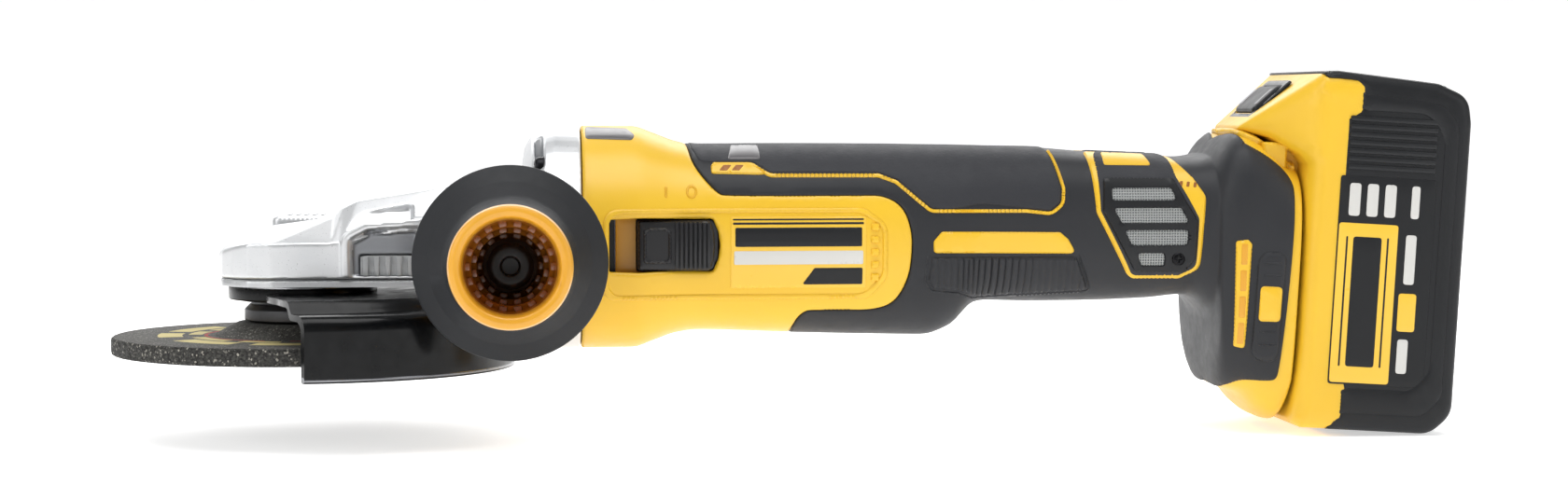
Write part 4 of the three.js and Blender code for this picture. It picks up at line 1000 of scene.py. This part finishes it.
collar = [(0, 72.6), (25.5, 72.6), (30, 73.4), (33.8, 75.6), (36.6, 79.5), (37.4, 83), (37.1, 91.6),
    (0, 91.6)]
ALONG_X = Matrix(((0, 0, 1, 0), (1, 0, 0, 0), (0, 1, 0, MOTOR_Z), (0, 0, 0, 1)))
case = loose("gear_case_cast", head_loft())
parts = [loose("collar", lathe_mesh(collar, 72, ALONG_X))]
for side in (-1, 1):
    boss = [(0, 20), (12.6, 20), (12.6, 33.5), (11.6, 38), (0, 38)]
    parts.append(loose("boss", lathe_mesh(boss, 40, handle_place(side))))
for side, place in ((-1, LEFT), (1, RIGHT)):
    ridge = band([(15.6, 25.4), (15.6, 38.6), (22.6, 42.2), (40, 43.4), (60, 45.4)], 2.4, 3.0)
    parts.append(loose("ridge", prism_mesh(ridge, 24.0, 31.7, place)))
combined(case, parts, "UNION")
cuts = [loose("button_pocket", cube_mesh(-9.9, 12.5, -9.1, 9.1, 37.9, 60))]
spring_well = [(0, 36.6), (4.6, 36.6), (4.6, 38.4), (0, 38.4)]
cuts.append(loose("spring_well", lathe_mesh(spring_well, 32, Matrix.Translation((-2, 0, 0)))))
for side, place in ((-1, LEFT), (1, RIGHT)):
    recess = [(17.6, 25.9), (17.6, 36.4), (24, 39.6), (38.8, 40.6), (38.8, 25.9)]
    cuts.append(loose("side_recess", prism_mesh(recess, 29.3, 34, place)))
    pocket = [(20.0, 25.9), (20.0, 33.0), (38.6, 33.0), (38.6, 25.9)]
    cuts.append(loose("vent_pocket", prism_mesh(pocket, 27.8, 34, place)))
    channel = [(76.6, 60.6), (79.4, 60.6), (79.4, 70.6), (76.6, 70.6)]
    cuts.append(loose("screw_channel", prism_mesh(channel, 12, 30, place)))
    slope = Matrix.Translation((0, side * 23.4, 41.6)) @ Matrix.Rotation(-side * math.radians(48), 4, "X")
    window = rounded([(15.5, -4.6), (19.5, 4.8), (37.0, 6.6), (37.0, -3.4)], 1.5)
    cuts.append(loose("roof_panel", prism_mesh(window, 1.2, 14, slope)))
combined(case, cuts, "DIFFERENCE")
cast_skin(case, 0.55, 3, 0.35)
case.data.materials.append(CAST)
case.data.materials.append(CAST_RECESS_SHADE)
# Painted shade: faces inside the side recesses get the darker grey copy of the casting.
for polygon in case.data.polygons:
    spot = polygon.center / MM
    if 17.2 < spot.x < 39.2 and 25.4 < spot.z < 40.8 and 27.0 < abs(spot.y) < 29.75:
        polygon.material_index = 1
case.data.shade_smooth()
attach(case, "tool")
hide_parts("gear_case")

cover_outline = [(x, -half + 0.5) for x, half, _s, _r, _t in HEAD[:9]] + \
    [(x, half - 0.5) for x, half, _s, _r, _t in HEAD[8::-1]]
cover_outline = [(x + (0.5 if x < -26 else 0), y) for x, y in cover_outline]
top_plane = plane_surface(FLAT)
patch("gear_case_cover_cast", [rounded(cover_outline, 1.5, 3)], CAST, surface=top_plane, base=23.9, rise=0.8,
      rim=0.8, depth=-COVER_BOTTOM, spacing=4.0, replaces=("gear_case_cover",))
vent_shape = soft_block("vent_rib_shape", 1.9, 1.4, 6.8, 0.5)
for side, tag in SIDES:
    plate_spots = [((29.3, side * 28.7, 29.2), (0, 0, 0), (18.0 / 1.9, 0.8, 1.0))]
    rib_spots = [((22.0 + 3.6 * i, side * 29.9, 29.2), (0, 0, 0), (1, 1, 0.96)) for i in range(5)]
    repeat("vent_ribs_" + tag, vent_shape, plate_spots + rib_spots, CLEAR,
           replaces=("vent_insert_" + tag,))

lock = rounded([(-9.4, -8.6), (12.0, -8.6), (12.0, 8.6), (-9.4, 8.6)], 2.6)
patch("lock_button_cap", [lock], CAST, surface=top_plane, base=43.0, rise=1.7, rim=1.8, depth=-41.2,
    spacing=2.0, body="lock_group", replaces=("lock_button",))
groove_shape = soft_block("groove_shape", 1.2, 11.0, 0.9, 0.3)
repeat("lock_button_grooves", groove_shape, [((-4.0 + 2.7 * i, 0, 44.7), UPRIGHT,
    FULL_SIZE) for i in range(5)], CAST, body="lock_group")

# ------------------------------ screws

def screw_shape(name, radius, height, arms):
    """A pan head with a driver recess of crossed arms, built as a small lathe with the recess cut in."""
    profile = [(0, 0), (radius, 0), (radius, height * 0.5), (radius * 0.85, height * 0.85),
               (radius * 0.5, height), (0, height)]
    head = make_piece(name, *lathe_mesh(profile, 28), None, body=None, smooth=0)
    slots = []
    for k in range(arms):
        turn = Matrix.Rotation(math.pi * k / arms, 4, "Z")
        bar = [(-radius * 0.55, -radius * 0.13), (radius * 0.55, -radius * 0.13),
            (radius * 0.55, radius * 0.13), (-radius * 0.55, radius * 0.13)]
        slots.append(loose("slot", prism_mesh(bar, height * 0.35, height * 2, turn)))
    combined(head, slots, "DIFFERENCE")
    head.data.shade_smooth()
    head.data.set_sharp_from_angle(angle=math.radians(35))
    bpy.context.scene.collection.objects.unlink(head)
    return head


case_screw = screw_shape("case_screw_shape", 3.6, 3.2, 3)
filter_screw = screw_shape("filter_screw_shape", 2.2, 1.2, 2)
case_spots = []
for k in range(4):
    a = math.radians(45 + 90 * k)
    case_spots.append(((79.4, 33.4 * math.cos(a), MOTOR_Z + 33.4 * math.sin(a)), (0, -math.pi / 2, 0),
        FULL_SIZE))
repeat("gear_case_screw_heads", case_screw, case_spots, SCREW_BLACK,
       replaces=("gear_case_screw_1", "gear_case_screw_2", "gear_case_screw_3", "gear_case_screw_4"))
screw_run, screw_around = side_spot(288.6, 30.2)
screw_spot = skin(np.array([screw_run]), np.array([screw_around]), np.array([1.1]))[0]
for side, tag in SIDES:
    out = -float(screw_spot[1])
    repeat("filter_screw_head_" + tag, filter_screw, [((288.6, side * out, 30.2),
           (math.pi / 2 if side < 0 else -math.pi / 2, 0, 0), FULL_SIZE)], SCREW_BLACK,
           replaces=("filter_screw_" + tag,))

# ------------------------------ neck, flange, disc, nut and guard

lathe("bearing_cap_chrome", rounded([(9, 16.6), (20.4, 16.6), (21.2, 17.4), (21.2, 22.1), (9, 22.1)], 0.5,
    3), CHROME, 96, replaces=("bearing_cap",))
lathe("inner_flange_turned", rounded([(7.4, 10.1), (19.2, 10.1), (19.2, 13.8), (17.4, 15.6), (7.4, 15.6)],
    0.5, 3), FLANGE_STEEL, 96, body="spindle_group", replaces=("inner_flange",))
lathe("lock_nut_turned", rounded([(7.4, 0.3), (17, 0.3), (17, 4.3), (7.4, 4.3)], 0.5, 3), SCREW_BLACK, 72,
      body="spindle_group", replaces=("lock_nut",))
DISC_R = 62.5
disc_profile = rounded([(7.3, 4.6), (17, 4.6), (20.5, 3.6), (28.5, -0.6), (DISC_R - 0.6, -0.6), (DISC_R, 0),
    (DISC_R, 4.5), (DISC_R - 0.5, 5.2), (29.5, 5.2), (21.5, 9.4), (7.3, 9.8)], 0.8, 3)
verts, faces = lathe_mesh(disc_profile, 260)
random = np.random.default_rng(7)
roughened = []
for x, y, z in verts:
    r = math.hypot(x, y)
    if r > DISC_R - 1.0:
        bite = random.uniform(-0.45, 0.0)
        x, y = x * (1 + bite / r), y * (1 + bite / r)
    roughened.append((x, y, z))
disc = make_piece("grinding_disc_bonded", roughened, faces, GRIT_FACE, body="spindle_group",
    replaces=("grinding_disc",))
disc.data.materials.append(GRIT_RIM)
for polygon in disc.data.polygons:
    c = polygon.center
    if math.hypot(c.x, c.y) > (DISC_R - 0.9) * MM:
        polygon.material_index = 1


def arc_plate(name, r0, r1, a0, a1, low, high, material, body="spindle_group"):
    steps = max(3, int((a1 - a0) / 3))
    inner = [(r0, math.radians(a0 + (a1 - a0) * i / steps)) for i in range(steps + 1)]
    outer = [(r1, math.radians(a1 - (a1 - a0) * i / steps)) for i in range(steps + 1)]
    outline = [(r * math.cos(a), r * math.sin(a)) for r, a in inner + outer]
    return prism(name, outline, low, high, material, body=body)


print_rows = [(33, 37.5, PALE_PRINT), (39.5, 47.5, PALE_PRINT), (31.2, 32.4, RED_PRINT)]
for k, (r0, r1, look) in enumerate(print_rows):
    blocks = 3 if look is RED_PRINT else 9
    length = 96 if look is RED_PRINT else 22
    for i in range(blocks):
        a0 = 360.0 * i / blocks + 13 * k
        arc_plate("disc_print_{}_{}".format(k + 1, i + 1), r0, r1, a0, a0 + length + 9 * (i % 2), 5.1, 5.24,
            look)

GUARD_R, GUARD_TOP, GUARD_LOW = 70.0, 19.8, -5.2
cut_radius = [0, 24.1, 45.3, 70.2, 90]
cut_angle = [math.radians(a) for a in (114, 114, 96.3, 85.9, 85)]
outer_line = rounded([(22.5, GUARD_TOP), (58.5, GUARD_TOP), (61.0, 15.9), (67.4, 15.9), (GUARD_R, 13.6),
    (GUARD_R, -3.0), (GUARD_R - 0.2, GUARD_LOW)], [0, 1.5, 1.5, 2.0, 2.0, 1, 0], 5, closed=False)
inner_line = rounded([(22.5, GUARD_TOP - 2), (57.4, GUARD_TOP - 2), (60.0, 13.9), (66.0, 13.9), (68.0, 12.2),
    (68.0, -3.0), (68.4, GUARD_LOW)], [0, 1, 1, 2, 1, 1, 0], 5, closed=False)


def guard_shell(profile):
    """The guard's section swept round; its reach depends on the radius."""
    verts, faces = [], []
    turns, count = 110, len(profile)
    for i in range(turns + 1):
        for r, z in profile:
            reach = float(np.interp(r, cut_radius, cut_angle))
            a = reach * (2 * i / turns - 1)
            verts.append((r * math.cos(a), r * math.sin(a), z))
    for i in range(turns):
        for k in range(count):
            n = (k + 1) % count
            faces.append((i * count + k, (i + 1) * count + k, (i + 1) * count + n, i * count + n))
    ends = [tuple(range(count)), tuple(turns * count + k for k in range(count))]
    return verts, faces, ends


def guard_ends(count, turns, split):
    """The two cut ends as strips of four-sided faces between the outer and the inner line."""
    out = []
    for row in (0, turns):
        for k in range(split - 1):
            a, b = k, k + 1
            c, d = count - 1 - k, count - 2 - k
            out.append((row * count + a, row * count + b, row * count + d, row * count + c))
    return out


def evened(line, count):
    """The line as count points an equal distance apart."""
    run = np.concatenate([[0], np.cumsum(np.linalg.norm(np.diff(np.array(line), axis=0), axis=1))])
    at = np.linspace(0, run[-1], count)
    return [(float(np.interp(s, run, [p[0] for p in line])), float(np.interp(s, run, [p[1] for p in line])))
            for s in at]


outer_even, inner_even = evened(outer_line, 40), evened(inner_line, 40)
verts, faces = guard_shell(outer_even + inner_even[::-1])[:2]
make_piece("guard_pressed", verts, faces + guard_ends(80, 110, 40), PAINTED, body="guard_group",
           replaces=("guard",), smooth=35)
bead = [(GUARD_R - 1.0 + 1.0 * math.cos(a), GUARD_LOW + 1.05 + 1.0 * math.sin(a)) for a in
        np.linspace(0, TAU, 14, endpoint=False)]
verts, faces, ends = guard_shell(bead)
make_piece("guard_rolled_edge", verts, faces + ends, BEAD, body="guard_group")
lathe("guard_collar", rounded([(21.7, 17.2), (24.4, 17.2), (24.4, 21.4), (21.7, 21.4)], 0.5, 3), PAINTED, 96,
      body="guard_group")
clamp_turn = Matrix.Rotation(math.radians(-50), 4, "Z")
for side in (-1, 1):
    lug = rounded([(-31, 0.7), (-24.0, 0.7), (-24.0, 4), (-31, 4)], 0.8)
    lug = [(x, side * y) for x, y in lug]
    prism("guard_lug_" + ("left" if side < 0 else "right"), lug, 16.9, 21.5, PAINTED, place=clamp_turn,
        bevel=0.4, body="guard_group")

# ------------------------------ side handle

grip_profile = rounded([(15.3, 60.4), (28.5, 60.0), (30.8, 61.0), (30.8, 63.0), (25.5, 67.5), (20.8, 73.5),
    (18.2, 84), (17.8, 95), (17.7, 157.5), (16.8, 160.3), (15.3, 160.3)],
    [0.5, 1, 1.2, 1.5, 5, 5, 6, 6, 2.0, 1, 0.5], 6)
lathe("side_handle_grip_moulded", grip_profile, FLANGE_RUBBER, 128, place=handle_place(),
      replaces=("side_handle_grip",))
core_profile = rounded([(4.3, 38.4), (13.5, 38.4), (14.9, 60), (14.9, 160.4), (17.3, 160.6), (17.7, 163),
    (17.2, 165.4), (15.8, 166), (14.2, 165.6), (13.7, 163.5), (12.6, 140), (11.8, 105), (11.6, 99.5),
    (4.3, 99.5)], [0.5, 0.5, 1, 0.6, 0.8, 1.6, 1.0, 1.0, 1.2, 2, 2, 2, 1, 0.5], 5)
lathe("side_handle_core_moulded", core_profile, RING_YELLOW, 128, place=handle_place(),
      replaces=("side_handle_core",))
hub_profile = rounded([(0, 117.6), (6.6, 117.6), (6.8, 140), (5.6, 143.4), (2.8, 143.4), (2.6, 140.5),
    (0, 140.5)], [0, 0.5, 1, 1, 0.6, 0.5, 0], 4)
lathe("side_handle_hub", hub_profile, BLACK, 48, place=handle_place())
sleeve_profile = [(8.0, 118.5), (12.0, 118.5), (13.6, 156), (13.3, 156), (12.6, 148.5), (11.2, 147),
    (11.0, 138.5), (9.6, 137), (9.4, 128.5), (8.0, 127)]
lathe("side_handle_liner", sleeve_profile, ORANGE_DEEP, 96, place=handle_place())
lathe("side_handle_floor", [(0, 117), (12.4, 117), (12.4, 118.4), (0, 118.4)], ORANGE_DEEP, 64,
      place=handle_place())
damper = soft_block("damper_shape", 2.3, 2.0, 3.4, 0.35)
damper_spots = []
handle_axis = handle_place()
for row, (height, radius, count) in enumerate(((149.6, 12.4, 18), (139.6, 10.7, 16), (129.6, 9.0, 14))):
    for i in range(count):
        a = TAU * (i + 0.5 * (row % 2)) / count
        spot = handle_axis @ Vector((radius * math.cos(a), radius * math.sin(a), height))
        turn = (handle_axis.to_3x3() @ Matrix.Rotation(a + math.pi / 2, 3, "Z")).to_euler()
        damper_spots.append((tuple(spot), tuple(turn), FULL_SIZE))
repeat("side_handle_dampers", damper, damper_spots, AMBER)

# ------------------------------ battery

BATTERY_TILT = math.radians(3.4)
BATTERY_AT = Vector((325.7, 0, -25.7))
WIDE = 38.0


def battery_place(side=-1):
    """The battery's own frame: first rearwards, second up the pack, third outwards on one side."""
    back = Vector((math.cos(BATTERY_TILT), 0, -math.sin(BATTERY_TILT)))
    up = Vector((math.sin(BATTERY_TILT), 0, math.cos(BATTERY_TILT)))
    turn = Matrix((back, up, Vector((0, side, 0)))).transposed()
    return Matrix.Translation(BATTERY_AT) @ turn.to_4x4()


SPLIT = [(11.2, 0.2), (13.2, 7.3), (14.6, 13.2), (12.7, 14.8), (9.05, 19.6), (9.1, 70), (9.3, 104.5),
    (15.4, 108.6), (14.2, 114.8), (4.0, 115.4), (2.2, 118.4)]
front_outline = rounded([(0.3, 2.2), (3, 0.2), (20, 0.2), (20, 117.4), (8, 118.0), (2.6, 117.6),
    (-19.8, 98.9), (-20.3, 97.7), (-11, 95.6), (-2.2, 90.6), (0.3, 87.5)],
    [1.5, 1.5, 0.5, 0.5, 1, 1.5, 1.0, 0.8, 3, 3, 2], 4)
rear_outline = rounded(SPLIT + [(8, 118.9), (42, 116.6), (52.4, 112.6), (53.9, 104), (53.9, 7), (47, 0.2)],
    [0.5, 1.5, 1.5, 1.5, 2.5, 0, 2.0, 2.0, 1, 1, 0.8, 1, 8, 9, 12, 9, 9], 7)
common_back = {"body": "battery_group"}
NOSE_HALF, NOSE_BACK, NOSE_FRONT = 17.0, 3.0, -21.0


def front_side(place):
    """The front shell's side: flat, then drawing in towards the narrow nose."""
    flat = plane_surface(place)

    def at(first, second, height):
        share = np.clip((first - NOSE_FRONT) / (NOSE_BACK - NOSE_FRONT), 0, 1)
        half_here = NOSE_HALF + (WIDE - NOSE_HALF) * share
        return flat(first, second, np.asarray(height) * half_here / WIDE)
    return at


for side, tag in SIDES:
    place = battery_place(side)
    flat_side = plane_surface(place)
    patch("battery_front_shell_" + tag, [front_outline], YELLOW, surface=front_side(place), base=WIDE - 4.7,
        rise=4.0, rim=4.2, depth=0.0, spacing=4.0, replaces=("battery_case_front",), **common_back)
    patch("battery_rear_shell_" + tag, [rear_outline], BLACK, surface=flat_side, base=WIDE - 3.6, rise=3.1,
        rim=3.4, depth=0.0, spacing=4.0, replaces=("battery_case_rear",), **common_back)
    rim_out = rounded([(14.8, 11.0), (14.8, 13.6), (17.0, 15.0), (38.0, 15.0), (44.0, 21.0), (44.0, 99.0),
        (38.0, 105.6), (18.0, 105.6), (15.8, 106.6), (15.8, 112.4), (44.0, 110.4), (50.0, 103.0),
        (50.0, 13.0), (44.0, 5.4), (14.8, 5.4)], [0.6, 1, 1, 7, 7, 7, 7, 1, 1, 0.8, 9, 10, 9, 9, 0.8], 7)
    patch("battery_side_frame_" + tag, [rim_out], BLACK, surface=flat_side, base=WIDE - 1.45, rise=1.4,
        rim=1.9, depth=-(WIDE - 2.4), spacing=3.0, **common_back)
    ribs = soft_block("grip_rib_shape_" + tag, 29.6, 1.3, 1.8, 0.5)
    spots = []
    for i in range(7):
        spot = place @ Vector((27.2, 87.6 + 2.65 * i, WIDE - 0.55))
        spots.append((tuple(spot), (0, BATTERY_TILT, 0), FULL_SIZE))
    repeat("battery_grip_ribs_" + tag, ribs, spots, BLACK, body="battery_group")
    prints = [("base", LABEL_DARK, (10.4, 15.6, 42.8, 84.6), 0.0),
        ("block", LABEL_YELLOW, (10.8, 16.2, 30.8, 69.0), 0.1), ("block_bar", LABEL_DARK,
        (15.8, 21.6, 25.4, 64.6), 0.2), ("block_line_1", LABEL_DARK, (13.4, 21.6, 14.0, 64.6), 0.2),
        ("block_line_2", LABEL_DARK, (27.2, 21.6, 27.8, 64.6), 0.2),
        ("pale_bar_1", LABEL_PALE, (33.0, 20.0, 36.6, 31.4), 0.1),
        ("yellow_bar", LABEL_YELLOW, (32.4, 34.0, 38.4, 46.6), 0.1),
        ("pale_bar_2", LABEL_PALE, (33.6, 49.6, 37.2, 66.0), 0.1),
        ("pale_block", LABEL_PALE, (13.6, 71.4, 17.4, 82.2), 0.1),
        ("pale_block_2", LABEL_PALE, (19.6, 71.4, 23.4, 82.2), 0.1),
        ("pale_block_3", LABEL_PALE, (25.6, 71.4, 29.4, 82.2), 0.1),
        ("pale_bar_3", LABEL_PALE, (34.6, 71.4, 37.4, 82.2), 0.1)]
    for key, look, (v0, u0, v1, u1), lift in prints:
        patch("battery_label_{}_{}".format(key, tag), [rounded([(v0, u0), (v1, u0), (v1, u1), (v0, u1)], 1.0,
            3)], look, surface=flat_side, base=WIDE - 0.42 + 1.5 * lift, rise=0.1, rim=0.3,
            depth=-(WIDE - 0.9), spacing=5.0, **common_back)
pack_middle = plane_surface(battery_place())
latch = rounded([(44.6, 112.0), (53.0, 110.4), (53.2, 114.6), (51.6, 116.4), (45.4, 117.2)], 1.2)
patch("battery_rear_latch", [latch], BLACK_SHINY, surface=pack_middle, base=12.4, rise=1.2,
      rim=1.2, depth=13.6, spacing=3.0, **common_back)
foot_bar = rounded([(13.0, -0.1), (18.0, -0.1), (18.0, 1.6), (13.0, 1.6)], 0.5)
patch("battery_bottom_step", [foot_bar], BLACK_SHINY, surface=pack_middle, base=27.0,
      rise=1.0, rim=0.8, depth=28.0, spacing=3.0, **common_back)
slope_turn = Matrix.Rotation(math.radians(45), 4, "Z")
slope_place = battery_place(-1) @ Matrix.Translation((-9.6, 108.2, 0)) @ slope_turn
bed = rounded([(-10.4, -13.6), (10.0, -15.0), (10.0, 15.0), (-10.4, 13.6)], 2.0)
along_slope = Matrix(((1, 0, 0, 0), (0, 0, 1, 0), (0, -1, 0, 0), (0, 0, 0, 1)))
bed_plane = plane_surface(slope_place @ along_slope)
opening = rounded([(-6.8, -13.0), (6.8, -13.0), (6.8, 13.0), (-6.8, 13.0)], 2.6)
for tag in ("left", "right"):
    pocket = loose("release_pocket", prism_mesh(opening, -8.4, 6.0, slope_place @ along_slope))
    combined(bpy.data.objects["battery_front_shell_" + tag], [pocket], "DIFFERENCE")
patch("release_bed", [bed, opening], BLACK_SHINY, surface=bed_plane, base=-0.3, rise=0.5, rim=0.6, depth=0.9,
    **common_back)
button = rounded([(-6.2, -12.5), (6.2, -12.5), (6.2, 12.5), (-6.2, 12.5)], 2.4)
patch("release_button_cap", [button], BLACK, surface=bed_plane, base=0.2, rise=1.1, rim=1.3, depth=3.2,
      body="release_group", replaces=("release_button",))
for k, y in ((1, -10.2), (2, 10.2)):
    end = rounded([(-4.2, y - 1.8), (4.2, y - 1.8), (4.2, y + 1.8), (-4.2, y + 1.8)], 1.0)
    patch("release_button_end_{}".format(k), [end], LABEL_GREY, surface=bed_plane, base=1.0, rise=0.5,
        rim=0.6, depth=-0.3, body="release_group")

RAIL_FRONT, RAIL_LIP, RAIL_WAIST, RAIL_HALF = -13.0, -4.9, 19.4, 25.4
for side, tag in SIDES:
    rail = rounded([(RAIL_FRONT, 26), (RAIL_LIP, 26), (RAIL_LIP, 94), (RAIL_FRONT, 94)], 1.0, 3)
    patch("battery_slide_rail_" + tag, [rail], YELLOW, surface=plane_surface(battery_place(side)),
          base=RAIL_HALF - 0.8, rise=0.8, rim=0.8, depth=-12.0, spacing=8.0, **common_back)
    waist = rounded([(RAIL_LIP - 0.1, 26), (1.0, 26), (1.0, 94), (RAIL_LIP - 0.1, 94)], 0.5, 2)
    patch("battery_rail_neck_" + tag, [waist], YELLOW, surface=plane_surface(battery_place(side)),
          base=RAIL_WAIST - 0.4, rise=0.4, rim=0.4, depth=0.0, spacing=8.0, **common_back)

GAUGE_UP, PACK_BACK = 90.0, 53.9
back_place = battery_place(-1) @ Matrix.Translation((PACK_BACK, GAUGE_UP, 0))
back_plane = plane_surface(back_place @ Matrix(((0, 0, 1, 0), (1, 0, 0, 0), (0, 1, 0, 0), (0, 0, 0, 1))))
gauge_cap = rounded([(-2.6, -4.6), (2.6, -4.6), (2.6, 4.6), (-2.6, 4.6)], 1.8)
patch("gauge_button_cap", [gauge_cap], BLACK_SHINY, surface=back_plane, base=0.0, rise=0.35, rim=0.8,
    depth=0.5, spacing=1.5, body="gauge_group", replaces=("gauge_button",))

# ------------------------------ stage, light and camera

def build_stage():
    """The white sweep that the tool lies over."""
    floor_z = -0.0287
    verts, faces = [], []
    rows = [(-9.0, floor_z)] + [(5.0 + 1.5 * math.sin(a),
        floor_z + 1.5 * (1 - math.cos(a))) for a in np.linspace(0, math.pi / 2, 14)] + [(6.5, 7.0)]
    for y, z in rows:
        verts += [(-9.0, y, z), (9.0, y, z)]
    for i in range(len(rows) - 1):
        faces.append((2 * i, 2 * i + 1, 2 * i + 3, 2 * i + 2))
    mesh = bpy.data.meshes.new("studio_sweep")
    mesh.from_pydata(verts, [], faces)
    mesh.shade_smooth()
    look = Look("studio_paper")
    look.colour(look.blend(look.noise(400, 2), linear("FCFCFC"), linear("F9F9F9")))
    look.set(Roughness=0.9, Emission_Color=(1, 1, 1, 1), Emission_Strength=0.55)
    mesh.materials.append(look.mat)
    floor = bpy.data.objects.new("studio_sweep", mesh)
    bpy.context.scene.collection.objects.link(floor)


def area_light(name, spot, aim, size, power, tint=(1, 1, 1)):
    """A soft box that looks at one point."""
    data = bpy.data.lights.new(name, "AREA")
    data.shape = "RECTANGLE"
    data.size, data.size_y = size
    data.energy = power
    data.color = tint
    lamp = bpy.data.objects.new(name, data)
    lamp.location = spot
    lamp.rotation_euler = (Vector(aim) - Vector(spot)).to_track_quat("-Z", "Y").to_euler()
    bpy.context.scene.collection.objects.link(lamp)


build_stage()
CENTRE = (0.15, 0.0, 0.03)
area_light("top_softbox", (0.1, -0.35, 1.25), CENTRE, (1.3, 0.9), 13)
area_light("left_softbox", (-1.1, -0.9, 0.75), CENTRE, (0.8, 0.9), 6)
area_light("right_softbox", (1.4, -0.8, 0.6), CENTRE, (0.7, 0.9), 3)
area_light("back_softbox", (0.15, 1.1, 0.9), CENTRE, (1.8, 0.7), 9)
world = bpy.data.worlds.new("studio_air")
world.use_nodes = True
world.node_tree.nodes["Background"].inputs[0].default_value = (1, 1, 1, 1)
world.node_tree.nodes["Background"].inputs[1].default_value = 0.28
bpy.context.scene.world = world
bpy.context.scene.view_settings.view_transform = "Standard"

camera_data = bpy.data.cameras.new("camera")
camera_data.lens = 68.57
camera_data.sensor_width = 36
camera = bpy.data.objects.new("camera", camera_data)
camera.location = (0.06855, -1.0, 0.0822)
heading, dip = math.radians(5.24), math.radians(2.70)
sight = Vector((math.sin(heading) * math.cos(dip), math.cos(heading) * math.cos(dip), -math.sin(dip)))
camera.rotation_euler = sight.to_track_quat("-Z", "Y").to_euler()
bpy.context.scene.collection.objects.link(camera)
bpy.context.scene.camera = camera
